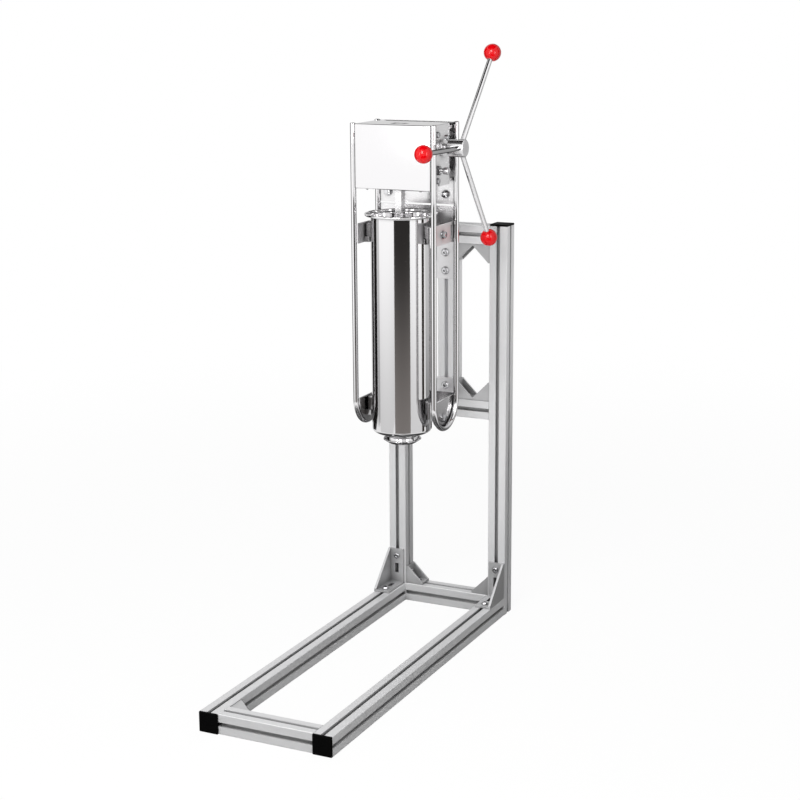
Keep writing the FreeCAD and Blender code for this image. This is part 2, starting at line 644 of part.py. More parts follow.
def make_mount():
    """Both mount brackets and their screws; gives back the slot nuts in the middle post."""
    upper_screws = [UPPER_MOUNT_LOW_SCREW, UPPER_MOUNT_HIGH_SCREW]
    lower_screws = [LOWER_MOUNT_SCREW]
    upper = mount_bracket(
        UPPER_MOUNT_BOTTOM, UPPER_MOUNT_SHELF, UPPER_MOUNT_TOP, upper_screws,
        (UPPER_MOUNT_SHELF, UPPER_MOUNT_TOP))
    lower = mount_bracket(
        LOWER_MOUNT_BOTTOM, LOWER_MOUNT_BOTTOM, LOWER_MOUNT_TOP, lower_screws,
        (LOWER_MOUNT_BOTTOM, LOWER_MOUNT_BOTTOM + 2 * MOUNT_PLATE))
    export("upper_mount_bracket", upper)
    export("lower_mount_bracket", lower)
    screws = []
    nuts = []
    for z in upper_screws + lower_screws:
        seat = FreeCAD.Vector(0, POST_FRONT - MOUNT_PLATE, z)
        screw = button_screw(MOUNT_SCREW_HEAD, MOUNT_SCREW_HEAD_HEIGHT, MOUNT_PLATE + SCREW_REACH)
        screws.append(placed(screw, seat, -Y, Z))
        nuts.append(placed(slot_nut(), FreeCAD.Vector(0, POST_FRONT, z), -Y, Z))
    for z in (flange_screw_height(UPPER_MOUNT_SHELF, UPPER_MOUNT_TOP),
              flange_screw_height(LOWER_MOUNT_BOTTOM, LOWER_MOUNT_TOP)):
        seat = FreeCAD.Vector(0, BACK_FACE_Y + PLATE + MOUNT_PLATE, z)
        screw = button_screw(SCREW_HEAD, SCREW_HEAD_HEIGHT, MOUNT_PLATE + PLATE)
        screws.append(placed(screw, seat, Y, Z))
    export("mount_screws", screws)
    return nuts


# ---------------------------------------------------------------- side rods and plates of the press
def side_loop(side):
    """U-shaped round rod: front leg, bend under the barrel's side, rear leg."""
    x = side * ROD_X
    leg_length = ROD_TOP - LOOP_CENTRE_Z
    legs = []
    for y in (ROD_FRONT_Y, ROD_REAR_Y):
        leg = Part.makeCylinder(ROD_RADIUS, leg_length, FreeCAD.Vector(x, y, LOOP_CENTRE_Z))
        top = [e for e in leg.Edges if e.BoundBox.ZMin > ROD_TOP - 1e-6]
        legs.append(leg.makeChamfer(ROD_CHAMFER, top))
    start = FreeCAD.Vector(x, ROD_FRONT_Y, LOOP_CENTRE_Z)
    section = Part.Face(Part.Wire(Part.makeCircle(ROD_RADIUS, start, Z)))
    bend = section.revolve(FreeCAD.Vector(x, SHAFT_Y, LOOP_CENTRE_Z), X, 180)
    return joined([bend] + legs)


def upper_holder_plate(side):
    """Plate between the rods beside the barrel's upper ear, with a window before the rear rod."""
    low = UPPER_HOLDER_CENTRE - UPPER_HOLDER_HEIGHT / 2
    high = UPPER_HOLDER_CENTRE + UPPER_HOLDER_HEIGHT / 2
    thickness = (side * PLATE_IN, side * PLATE_OUT)
    plate = box(thickness, (ROD_FRONT_Y, ROD_REAR_Y), (low, high))
    window_rear = ROD_REAR_Y - ROD_RADIUS
    window = box(thickness, (window_rear - REAR_WINDOW, window_rear), (low + TAB_HEIGHT, high - TAB_HEIGHT))
    return drilled(plate, [window, holder_bolt_hole(side, UPPER_HOLDER_CENTRE)])


def lower_holder_plate(side):
    """D-shaped plate that fills the bend, with a curved window along its lower rear edge."""
    centre = (SHAFT_Y, LOOP_CENTRE_Z)
    top = LOOP_CENTRE_Z + LOWER_HOLDER_RISE
    thickness = (side * PLATE_IN, side * PLATE_OUT)
    outline = arc_points(centre, LOOP_RADIUS, -180, 0, 24) + [(ROD_REAR_Y, top), (ROD_FRONT_Y, top)]
    plate = flat_shape(outline, "YZ", thickness)
    window_outer = LOOP_RADIUS - ROD_RADIUS - LOOP_WINDOW_ROD_GAP
    window_inner = window_outer - LOOP_WINDOW_WIDTH
    window_outline = (
        arc_points(centre, window_outer, LOOP_WINDOW_START_ANGLE, LOOP_WINDOW_END_ANGLE, 10)
        + arc_points(centre, window_inner, LOOP_WINDOW_END_ANGLE, LOOP_WINDOW_START_ANGLE, 10))
    window = flat_shape(window_outline, "YZ", thickness)
    return drilled(plate, [window, holder_bolt_hole(side, LOWER_HOLDER_BOLT)])


def holder_bolt_hole(side, height):
    """Hole for a holder bolt, on the middle line between the rods."""
    start = FreeCAD.Vector(side * PLATE_IN, SHAFT_Y, height)
    end = FreeCAD.Vector(side * PLATE_OUT, SHAFT_Y, height)
    return rod(start, end, HOLDER_BOLT_SHANK + 2 * BOLT_HOLE_CLEARANCE)


def hex_bolt(flats, head, washer, washer_thickness, shank, grip, tail):
    """Hex bolt with washer and nut: plate face at the origin, head up +Z, nut below the grip."""
    parts = [
        Part.makeCylinder(washer / 2, washer_thickness),
        hexagon(flats, head),
        Part.makeCylinder(shank / 2, grip + tail, FreeCAD.Vector(0, 0, -grip - tail)),
    ]
    parts[1].translate(FreeCAD.Vector(0, 0, washer_thickness))
    nut = hexagon(flats, tail * 0.75)
    nut.translate(FreeCAD.Vector(0, 0, -grip - tail * 0.75))
    return joined(parts + [nut])


def make_holder_plates():
    """Plates on both sides at the top and in the bends, the cross plates and all their bolts."""
    sides = (-1, 1)
    export("upper_holder_plates", [upper_holder_plate(side) for side in sides])
    export("lower_holder_plates", [lower_holder_plate(side) for side in sides])
    bolt = hex_bolt(
        HOLDER_BOLT_FLATS, HOLDER_BOLT_HEAD, HOLDER_BOLT_WASHER, HOLDER_WASHER_THICKNESS,
        HOLDER_BOLT_SHANK, PLATE, 2 * PLATE)
    bolts = []
    for side in sides:
        for z in (UPPER_HOLDER_CENTRE, LOWER_HOLDER_BOLT):
            bolts.append(placed(bolt, FreeCAD.Vector(side * PLATE_OUT, SHAFT_Y, z), X * side, Z))
        back_seat = FreeCAD.Vector(side * BACK_BOLT_X, BACK_FACE_Y, BACK_BOLT_HEIGHT)
        bolts.append(placed(bolt, back_seat, -Y, Z))
    export("holder_bolts", bolts)


def cross_plate(bottom, top, holes):
    """Flat plate between the rear rods with holes along Y at (x, z)."""
    plate = box((-PLATE_OUT, PLATE_OUT), (BACK_FACE_Y, BACK_FACE_Y + PLATE), (bottom, top))
    cuts = [
        rod(FreeCAD.Vector(x, BACK_FACE_Y, z), FreeCAD.Vector(x, BACK_FACE_Y + PLATE, z), diameter)
        for x, z, diameter in holes]
    return drilled(plate, cuts)


def make_cross_plates():
    """Back plate of the head and the two cross plates that carry the mount brackets."""
    bolt_hole = HOLDER_BOLT_SHANK + 2 * BOLT_HOLE_CLEARANCE
    back_holes = [(side * BACK_BOLT_X, BACK_BOLT_HEIGHT, bolt_hole) for side in (-1, 1)]
    export("head_back_plate", cross_plate(BACK_PLATE_BOTTOM, HEAD_TOP, back_holes))
    upper_joint = flange_screw_height(UPPER_MOUNT_SHELF, UPPER_MOUNT_TOP)
    lower_joint = flange_screw_height(LOWER_MOUNT_BOTTOM, LOWER_MOUNT_TOP)
    upper_holes = [(0, upper_joint, SCREW_HOLE)]
    lower_holes = [(0, lower_joint, SCREW_HOLE)]
    export("upper_cross_plate", cross_plate(UPPER_CROSS_BOTTOM, UPPER_CROSS_TOP, upper_holes))
    export("lower_cross_plate", cross_plate(LOWER_CROSS_BOTTOM, LOWER_CROSS_TOP, lower_holes))


# ---------------------------------------------------------------- barrel, ears, cradles and nozzle
def make_barrel():
    """Deep barrel with rounded bottom edge and flared rim, its outlet neck, ears and cradles."""
    neck_bore = NECK_RADIUS - NECK_WALL
    floor = BARREL_BOTTOM + BARREL_WALL
    outer_edge = arc_points(
        (BARREL_RADIUS - BARREL_EDGE_ROUND, BARREL_BOTTOM + BARREL_EDGE_ROUND), BARREL_EDGE_ROUND, -90, 0, 6)
    inner_round = BARREL_EDGE_ROUND - BARREL_WALL
    inner_edge = arc_points(
        (BARREL_RADIUS - BARREL_EDGE_ROUND, BARREL_BOTTOM + BARREL_EDGE_ROUND), inner_round, 0, -90, 6)
    flare_start = BARREL_TOP - RIM_BEAD - RIM_FLARE_HEIGHT
    bead_radius = RIM_RADIUS - RIM_BEAD
    bead_height = BARREL_TOP - RIM_BEAD
    bead = arc_points((bead_radius, bead_height), RIM_BEAD, RIM_BEAD_START_ANGLE, RIM_BEAD_END_ANGLE, 9)
    outline = (
        [(neck_bore, BARREL_BOTTOM)] + outer_edge + [(BARREL_RADIUS, flare_start)] + bead
        + [(BARREL_BORE, flare_start + BARREL_WALL)] + inner_edge + [(neck_bore, floor)])
    export("barrel", turned(outline, BARREL_Y))
    neck = [
        (neck_bore, NECK_BOTTOM), (NECK_RADIUS, NECK_BOTTOM),
        (NECK_RADIUS, BARREL_BOTTOM), (neck_bore, BARREL_BOTTOM)]
    export("outlet_neck", turned(neck, BARREL_Y))


def ear_heights():
    """Middle heights of the barrel's upper and lower ears."""
    return (UPPER_HOLDER_CENTRE, LOOP_CENTRE_Z - EAR_HEIGHT / 2)


def make_ears():
    """Upright ears on the barrel's sides and the hooked cradles that they drop into."""
    ears = []
    cradles = []
    barrel_foot = FreeCAD.Vector(0, BARREL_Y, BARREL_BOTTOM)
    body = Part.makeCylinder(BARREL_RADIUS, BARREL_TOP - BARREL_BOTTOM, barrel_foot)
    half = EAR_WIDTH / 2
    slot_front = BARREL_Y - half - CRADLE_CLEARANCE
    slot_rear = BARREL_Y + half + CRADLE_CLEARANCE
    for side in (-1, 1):
        for middle in ear_heights():
            low = middle - EAR_HEIGHT / 2
            high = middle + EAR_HEIGHT / 2
            tip = side * (PLATE_IN - EAR_TIP_GAP)
            ear = box((side * BARREL_BORE, tip), (BARREL_Y - half, BARREL_Y + half), (low, high))
            ears.append(ear.cut(body))
            ledge = low - CRADLE_SHEET
            outline = [
                (slot_front - CRADLE_SHEET, ledge), (slot_rear + CRADLE_SHEET, ledge),
                (slot_rear + CRADLE_SHEET, high), (slot_rear, high), (slot_rear, low),
                (slot_front, low), (slot_front, low + CRADLE_LIP),
                (slot_front - CRADLE_SHEET, low + CRADLE_LIP)]
            cradles.append(flat_shape(outline, "YZ", (side * PLATE_IN, side * (PLATE_IN - CRADLE_DEPTH))))
    export("barrel_ears", ears)
    export("barrel_cradles", cradles)


def make_nozzle():
    """Star-holed die under the neck and the dished ring that screws on and holds it."""
    points = []
    for i in range(2 * DIE_STAR_POINTS):
        radius = DIE_STAR_OUTER if i % 2 == 0 else DIE_STAR_INNER
        angle = math.pi * i / DIE_STAR_POINTS
        points.append((radius * math.cos(angle), BARREL_Y + radius * math.sin(angle)))
    star = flat_shape(points, "XY", (DIE_BOTTOM, NECK_BOTTOM))
    die_radius = NECK_RADIUS - DIE_EDGE_GAP
    disc = Part.makeCylinder(die_radius, DIE_THICKNESS, FreeCAD.Vector(0, BARREL_Y, DIE_BOTTOM))
    export("nozzle_die", disc.cut(star))
    collar_bore = NECK_RADIUS + RING_FIT
    collar = collar_bore + RING_COLLAR_WALL
    foot = DIE_BOTTOM - RING_SHEET
    lip_height = foot + RING_LIP_RISE
    ring = [
        (RING_MOUTH_RADIUS, foot), (RING_FOOT_RADIUS, foot),
        (RING_LIP_RADIUS, lip_height - RING_SHEET / 2), (RING_LIP_RADIUS, lip_height),
        (RING_LIP_RADIUS - RING_SHEET, lip_height),
        (max(RING_FOOT_RADIUS, collar) + RING_SHEET / 2, DIE_BOTTOM + RING_SHEET / 2),
        (collar, DIE_BOTTOM + RING_SHEET), (collar, DIE_BOTTOM + RING_COLLAR_RISE),
        (collar_bore, DIE_BOTTOM + RING_COLLAR_RISE), (collar_bore, DIE_BOTTOM),
        (RING_MOUTH_RADIUS, DIE_BOTTOM)]
    export("nozzle_ring", turned(ring, BARREL_Y))


# ---------------------------------------------------------------- head
def head_side_plate(side):
    """Bearing plate of the head with two tabs to the rear rod, bush, lock and screw holes."""
    thickness = (side * PLATE_IN, side * PLATE_OUT)
    front = COVER_FRONT_Y + COVER_SHEET
    low = HEAD_BOTTOM + SIDE_PLATE_LIFT
    high = HEAD_TOP - COVER_SHEET
    plate = box(thickness, (front, COVER_REAR_Y), (low, high))
    tabs = [
        box(thickness, (COVER_REAR_Y, ROD_REAR_Y), (z, z + TAB_HEIGHT))
        for z in (low + WINDOW_MARGIN, high - WINDOW_MARGIN - TAB_HEIGHT)]
    cuts = [side_hole(side, SHAFT_Y, SHAFT_HEIGHT, SHAFT_DIAMETER + 2 * (SHAFT_FIT + BUSH_WALL))]
    if side > 0:
        cuts.append(side_hole(side, LOCK_Y, LOCK_HEIGHT, LOCK_SHANK + 2 * BOLT_HOLE_CLEARANCE))
    for y, z in head_screw_places():
        cuts.append(side_hole(side, y, z, HEAD_SCREW_SHANK + 2 * BOLT_HOLE_CLEARANCE))
    vent_front = front + VENT_SETBACK
    for rise in (LOWER_VENT_RISE, UPPER_VENT_RISE):
        middle = HEAD_BOTTOM + rise
        vent = (middle - VENT_HEIGHT / 2, middle + VENT_HEIGHT / 2)
        cuts.append(box(thickness, (vent_front, vent_front + VENT_LENGTH), vent))
    return drilled(joined([plate] + tabs), cuts)


def side_hole(side, y, z, diameter):
    """Hole through a side plate along X."""
    return rod(FreeCAD.Vector(side * PLATE_IN, y, z), FreeCAD.Vector(side * PLATE_OUT, y, z), diameter)


def guide_screw_y():
    """Depth of the screws that hold the rack guides."""
    return RACK_FRONT_Y - RACK_SLIDE_GAP + GUIDE_WALL


def head_screw_places():
    """(depth, height) of the screws through each side plate."""
    guide_y = guide_screw_y()
    return [(guide_y, UPPER_GUIDE_CENTRE), (guide_y, LOWER_GUIDE_CENTRE), (TIE_BAR_Y, TIE_BAR_HEIGHT)]


def rack_guide(middle):
    """Bar between the side plates with a rectangular hole that guides the rack."""
    heights = (middle - GUIDE_THICKNESS / 2, middle + GUIDE_THICKNESS / 2)
    hole_front = RACK_FRONT_Y - RACK_SLIDE_GAP
    hole_rear = RACK_TIP_Y + RACK_SLIDE_GAP
    hole_half = RACK_WIDTH / 2 + RACK_SLIDE_GAP
    bar = box((-PLATE_IN, PLATE_IN), (hole_front - GUIDE_WALL, hole_rear + GUIDE_WALL), heights)
    hole = box((-hole_half, hole_half), (hole_front, hole_rear), heights)
    taps = [screw_tap(side, guide_screw_y(), middle) for side in (-1, 1)]
    return drilled(bar, [hole] + taps)


def screw_tap(side, y, z):
    """Blind hole for a head screw in a bar that ends on the side plate."""
    start = FreeCAD.Vector(side * PLATE_IN, y, z)
    end = FreeCAD.Vector(side * (PLATE_IN - HEAD_SCREW_REACH), y, z)
    return rod(start, end, HEAD_SCREW_SHANK + 2 * NUT_BORE_CLEARANCE)


def make_head():
    """Bent front cover, side plates, rack guides, tie bar and the head's screws."""
    width = (-COVER_HALF_WIDTH, COVER_HALF_WIDTH)
    front = box(width, (COVER_FRONT_Y, COVER_FRONT_Y + COVER_SHEET), (HEAD_BOTTOM, HEAD_TOP))
    roof = box(width, (COVER_FRONT_Y, COVER_REAR_Y), (HEAD_TOP - COVER_SHEET, HEAD_TOP))
    lip = box(width, (COVER_FRONT_Y, COVER_FRONT_Y + COVER_LIP), (HEAD_BOTTOM, HEAD_BOTTOM + COVER_SHEET))
    window_half = RACK_WINDOW_WIDTH / 2
    window = box(
        (-window_half, window_half), (RACK_FRONT_Y - RACK_WINDOW_GAP, RACK_TIP_Y + RACK_WINDOW_GAP),
        (HEAD_TOP - COVER_SHEET, HEAD_TOP))
    export("head_front_cover", drilled(joined([front, roof, lip]), [window]))
    export("head_side_plate_left", head_side_plate(-1))
    export("head_side_plate_right", head_side_plate(1))
    export("upper_rack_guide", rack_guide(UPPER_GUIDE_CENTRE))
    export("lower_rack_guide", rack_guide(LOWER_GUIDE_CENTRE))
    tie_left = FreeCAD.Vector(-PLATE_IN, TIE_BAR_Y, TIE_BAR_HEIGHT)
    tie_right = FreeCAD.Vector(PLATE_IN, TIE_BAR_Y, TIE_BAR_HEIGHT)
    tie_taps = [screw_tap(side, TIE_BAR_Y, TIE_BAR_HEIGHT) for side in (-1, 1)]
    export("head_tie_bar", drilled(rod(tie_left, tie_right, TIE_BAR_DIAMETER), tie_taps))
    screws = []
    for side in (-1, 1):
        for y, z in head_screw_places():
            head = hexagon(HEAD_SCREW_FLATS, HEAD_SCREW_HEAD)
            shank_length = PLATE + HEAD_SCREW_REACH
            tip = FreeCAD.Vector(0, 0, -shank_length)
            shank = Part.makeCylinder(HEAD_SCREW_SHANK / 2, shank_length, tip)
            screws.append(placed(joined([head, shank]), FreeCAD.Vector(side * PLATE_OUT, y, z), X * side, Z))
        lip_screw = Part.makeCylinder(LIP_SCREW_HEAD / 2, LIP_SCREW_HEIGHT)
        lip_y = COVER_FRONT_Y + COVER_LIP / 2
        screws.append(placed(lip_screw, FreeCAD.Vector(side * LIP_SCREW_X, lip_y, HEAD_BOTTOM), -Z, X))
    export("head_screws", screws)


# ---------------------------------------------------------------- drive
def involute_flank(base_radius, tip_radius, root_radius, half_angle, steps):
    """Flank of one tooth from root to tip as (radius, angle) with the tooth on angle zero."""
    flank = [(root_radius, half_angle)]
    start = max(base_radius, root_radius)
    for i in range(steps + 1):
        radius = start + (tip_radius - start) * i / steps
        roll = math.acos(min(1.0, base_radius / radius))
        flank.append((radius, half_angle - (math.tan(roll) - roll)))
    return flank


def drive_pinion():
    """Spur pinion on the shaft, with a tooth gap facing the rack."""
    pressure = math.radians(PRESSURE_ANGLE)
    base_radius = PITCH_RADIUS * math.cos(pressure)
    tooth_half = (TOOTH_PITCH / 2 - BACKLASH) / 2 / PITCH_RADIUS
    half_angle = tooth_half + math.tan(pressure) - pressure
    flank = involute_flank(
        base_radius, PITCH_RADIUS + PINION_ADDENDUM, PITCH_RADIUS - PINION_DEDENDUM, half_angle, 4)
    step = 2 * math.pi / PINION_TEETH
    points = []
    for tooth in range(PINION_TEETH):
        middle = math.pi + (tooth + 0.5) * step
        for radius, angle in flank:
            points.append((radius, middle - angle))
        for radius, angle in reversed(flank):
            points.append((radius, middle + angle))
    outline = [(SHAFT_Y + r * math.cos(a), SHAFT_HEIGHT + r * math.sin(a)) for r, a in points]
    half = PINION_WIDTH / 2
    gear = flat_shape(outline, "YZ", (-half, half))
    left = FreeCAD.Vector(-half, SHAFT_Y, SHAFT_HEIGHT)
    right = FreeCAD.Vector(half, SHAFT_Y, SHAFT_HEIGHT)
    return gear.cut(rod(left, right, SHAFT_DIAMETER))


def rack_bar():
    """Toothed bar: teeth on its rear face from the foot to the top."""
    slope = math.tan(math.radians(PRESSURE_ANGLE))
    tooth_half = (TOOTH_PITCH / 2 - BACKLASH) / 2
    tip_half = tooth_half - RACK_ADDENDUM * slope
    root_half = tooth_half + RACK_DEDENDUM * slope
    below = math.floor((SHAFT_HEIGHT - FOOT_TOP - root_half) / TOOTH_PITCH)
    above = math.floor((HEAD_TOP - SHAFT_HEIGHT - root_half) / TOOTH_PITCH)
    outline = [(RACK_FRONT_Y, FOOT_TOP), (RACK_ROOT_Y, FOOT_TOP)]
    for tooth in range(-below, above + 1):
        middle = SHAFT_HEIGHT + tooth * TOOTH_PITCH
        outline += [
            (RACK_ROOT_Y, middle - root_half), (RACK_TIP_Y, middle - tip_half),
            (RACK_TIP_Y, middle + tip_half), (RACK_ROOT_Y, middle + root_half)]
    outline += [(RACK_ROOT_Y, HEAD_TOP), (RACK_FRONT_Y, HEAD_TOP)]
    bar = flat_shape(outline, "YZ", (-RACK_WIDTH / 2, RACK_WIDTH / 2))
    bore_floor = FreeCAD.Vector(0, LOCK_Y, HEAD_TOP - RACK_END_BORE_DEPTH)
    bore = Part.makeCylinder(RACK_END_BORE / 2, RACK_END_BORE_DEPTH, bore_floor)
    return bar.cut(bore)


def make_rack_and_piston():
    """Rack with its foot and the piston: two discs with the seal between them."""
    export("rack", rack_bar())
    centre = FreeCAD.Vector(0, BARREL_Y, 0)
    foot = Part.makeCylinder(FOOT_RADIUS, FOOT_HEIGHT, centre + Z * PISTON_TOP)
    export("rack_foot", foot)
    disc_radius = BARREL_BORE - PISTON_DISC_GAP
    corner_gap = BARREL_EDGE_ROUND - BARREL_WALL
    disc_foot = centre + Z * PISTON_BOTTOM
    lower_disc = Part.makeCone(disc_radius - corner_gap, disc_radius, PISTON_DISC, disc_foot)
    export("piston_lower_disc", lower_disc)
    seal_bottom = PISTON_BOTTOM + PISTON_DISC
    seal_radius = BARREL_BORE - SEAL_GAP
    seal_low = [
        (0, seal_bottom), (disc_radius, seal_bottom), (seal_radius, seal_bottom + PISTON_SEAL / 2),
        (seal_radius, seal_bottom + PISTON_SEAL), (0, seal_bottom + PISTON_SEAL)]
    export("piston_seal", turned(seal_low, BARREL_Y))
    upper_disc = Part.makeCylinder(disc_radius, PISTON_DISC, centre + Z * (seal_bottom + PISTON_SEAL))
    export("piston_upper_disc", upper_disc)


def make_shaft():
    """Pinion shaft, its flanged bushes and the collar on its left end."""
    shaft = rod(
        FreeCAD.Vector(-SHAFT_LEFT_END, SHAFT_Y, SHAFT_HEIGHT),
        FreeCAD.Vector(HUB_END, SHAFT_Y, SHAFT_HEIGHT), SHAFT_DIAMETER)
    export("pinion_shaft", shaft)
    export("drive_pinion", drive_pinion())
    bush_bore = SHAFT_DIAMETER + 2 * SHAFT_FIT
    bushes = []
    for side in (-1, 1):
        inner = FreeCAD.Vector(side * PLATE_IN, SHAFT_Y, SHAFT_HEIGHT)
        face = FreeCAD.Vector(side * PLATE_OUT, SHAFT_Y, SHAFT_HEIGHT)
        outer = FreeCAD.Vector(side * BUSH_FACE, SHAFT_Y, SHAFT_HEIGHT)
        sleeve = rod(inner, face, bush_bore + 2 * BUSH_WALL)
        flange = rod(face, outer, BUSH_FLANGE)
        bushes.append(joined([sleeve, flange]).cut(rod(inner, outer, bush_bore)))
    export("shaft_bushes", bushes)
    collar_in = FreeCAD.Vector(-COLLAR_START, SHAFT_Y, SHAFT_HEIGHT)
    collar_out = FreeCAD.Vector(-SHAFT_LEFT_END, SHAFT_Y, SHAFT_HEIGHT)
    collar = rod(collar_in, collar_out, COLLAR_DIAMETER).cut(rod(collar_in, collar_out, SHAFT_DIAMETER))
    export("shaft_collar", collar)


# ---------------------------------------------------------------- lever
def make_lever():
    """Hub on the shaft's end, three raked spokes and their ball knobs."""
    axis_start = FreeCAD.Vector(HUB_START, SHAFT_Y, SHAFT_HEIGHT)
    axis_end = FreeCAD.Vector(HUB_END, SHAFT_Y, SHAFT_HEIGHT)
    hub = rod(axis_start, axis_end, HUB_DIAMETER)
    rims = [e for e in hub.Edges if len(e.Vertexes) == 1]
    hub = hub.makeChamfer(HUB_CHAMFER, rims).cut(rod(axis_start, axis_end, SHAFT_DIAMETER))
    spokes = []
    for number in range(SPOKE_COUNT):
        angle = math.radians(SPOKE_PHASE_ANGLE) + 2 * math.pi * number / SPOKE_COUNT
        radial = Y * math.cos(angle) + Z * math.sin(angle)
        centre = FreeCAD.Vector(KNOB_PLANE, SHAFT_Y, SHAFT_HEIGHT) + radial * KNOB_RADIUS_FROM_SHAFT
        root = FreeCAD.Vector(SPOKE_ROOT, SHAFT_Y, SHAFT_HEIGHT) + radial * SPOKE_ROOT_RADIUS
        direction = (centre - root).normalize()
        tip = centre - direction * (KNOB_DIAMETER / 2 - KNOB_SEAT_DEPTH)
        spoke = rod(root, tip, SPOKE_DIAMETER)
        spokes.append(spoke)
        knob = Part.makeSphere(KNOB_DIAMETER / 2, centre).cut(spoke)
        export("lever_knob_" + str(number + 1), knob)
    export("lever_hub", hub.cut(spokes))
    export("lever_spokes", spokes)


def make_lock():
    """Hand screw that presses on the rack's side, and its nut on the right side plate."""
    seat = FreeCAD.Vector(PLATE_OUT, LOCK_Y, LOCK_HEIGHT)
    nut = placed(hexagon(LOCK_NUT_FLATS, LOCK_NUT_HEIGHT), seat, X, Z)
    bore = rod(seat, seat + X * LOCK_NUT_HEIGHT, LOCK_SHANK + 2 * SHAFT_FIT)
    export("lock_nut", nut.cut(bore))
    tip = FreeCAD.Vector(RACK_WIDTH / 2 + LOCK_GAP, LOCK_Y, LOCK_HEIGHT)
    knob_start = FreeCAD.Vector(LOCK_KNOB_START, LOCK_Y, LOCK_HEIGHT)
    knob_end = FreeCAD.Vector(LOCK_KNOB_END, LOCK_Y, LOCK_HEIGHT)
    knob = rod(knob_start, knob_end, LOCK_KNOB_DIAMETER)
    export("lock_screw", joined([rod(tip, knob_start, LOCK_SHANK), knob]))


make_profiles()
make_caps()
slot_nuts = make_corner_brackets() + make_gussets() + make_mount()
export("slot_nuts", slot_nuts)
for loop_side, loop_name in ((-1, "left"), (1, "right")):
    export("side_loop_" + loop_name, side_loop(loop_side))
make_holder_plates()
make_cross_plates()
make_barrel()
make_ears()
make_nozzle()
make_head()
make_rack_and_piston()
make_shaft()
make_lever()
make_lock()
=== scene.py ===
"""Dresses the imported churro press: finishes, rolled edges, bends, welds, threads and the studio."""

import math
from collections import namedtuple

import bmesh
import bpy
import numpy as np
from mathutils import Matrix, Vector


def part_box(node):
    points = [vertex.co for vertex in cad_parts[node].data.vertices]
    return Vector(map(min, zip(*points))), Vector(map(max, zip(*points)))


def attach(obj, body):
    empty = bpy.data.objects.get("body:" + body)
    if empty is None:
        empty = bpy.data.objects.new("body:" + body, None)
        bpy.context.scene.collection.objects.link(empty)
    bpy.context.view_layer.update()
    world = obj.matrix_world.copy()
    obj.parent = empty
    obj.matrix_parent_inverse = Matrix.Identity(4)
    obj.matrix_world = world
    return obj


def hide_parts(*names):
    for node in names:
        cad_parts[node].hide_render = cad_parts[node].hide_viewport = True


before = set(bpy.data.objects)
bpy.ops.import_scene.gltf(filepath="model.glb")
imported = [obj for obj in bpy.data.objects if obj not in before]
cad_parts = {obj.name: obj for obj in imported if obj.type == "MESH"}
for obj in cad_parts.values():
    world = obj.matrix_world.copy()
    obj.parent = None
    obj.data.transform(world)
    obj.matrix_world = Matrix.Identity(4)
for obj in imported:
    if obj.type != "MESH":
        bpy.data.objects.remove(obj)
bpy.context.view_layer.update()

bl_info = {
    "name": "Churro Press",
    "version": (1, 0, 0),
    "blender": (4, 5, 0),
    "location": "3D View > Sidebar > Churro Press",
    "description": "Finishes, rolled edges, welds, threads and studio for the upright churro press",
    "category": "Add Mesh",
}

MM = 0.001
X = Vector((1, 0, 0))
Z = Vector((0, 0, 1))
# A place times this is the point on the floor below it.
ON_FLOOR = Vector((1, 1, 0))
STAND = "press_and_stand"
SIDES = ("left", "right")
PROFILES = {
    "base_arm_left": "profile_along_y",
    "base_arm_right": "profile_along_y",
    "rear_post_left": "profile_along_z",
    "rear_post_right": "profile_along_z",
    "middle_post": "painted_light_profile_along_z",
    "base_front_crossbar": "profile_along_x",
    "base_rear_crossbar": "profile_along_x",
    "lower_crossbar": "profile_along_x",
    "upper_crossbar": "painted_light_profile_along_x",
}


# ---------------------------------------------------------------- colour and places
def linear(hex_colour):
    """An sRGB hex colour as linear red, green and blue."""
    parts = [int(hex_colour[i:i + 2], 16) / 255 for i in (1, 3, 5)]
    return tuple(c / 12.92 if c <= 0.04045 else ((c + 0.055) / 1.055) ** 2.4 for c in parts)


def opaque(colour, share=1.0):
    """A linear colour, taken down to a share of itself, with full alpha."""
    return (*[part * share for part in colour], 1)


def middle(node):
    """Centre of a CAD node's box."""
    low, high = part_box(node)
    return (low + high) / 2


def extent(node):
    """Width, depth and height of a CAD node."""
    low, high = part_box(node)
    return high - low


def per_metre(millimetres):
    """Texture scale at which one feature is about that many millimetres."""
    return 1 / (millimetres * MM)


def grain_scale(axis, along, across):
    """Texture scale of marks drawn out along one axis, from their length and spacing in millimetres."""
    return [per_metre(along if letter == axis else across) for letter in "XYZ"]


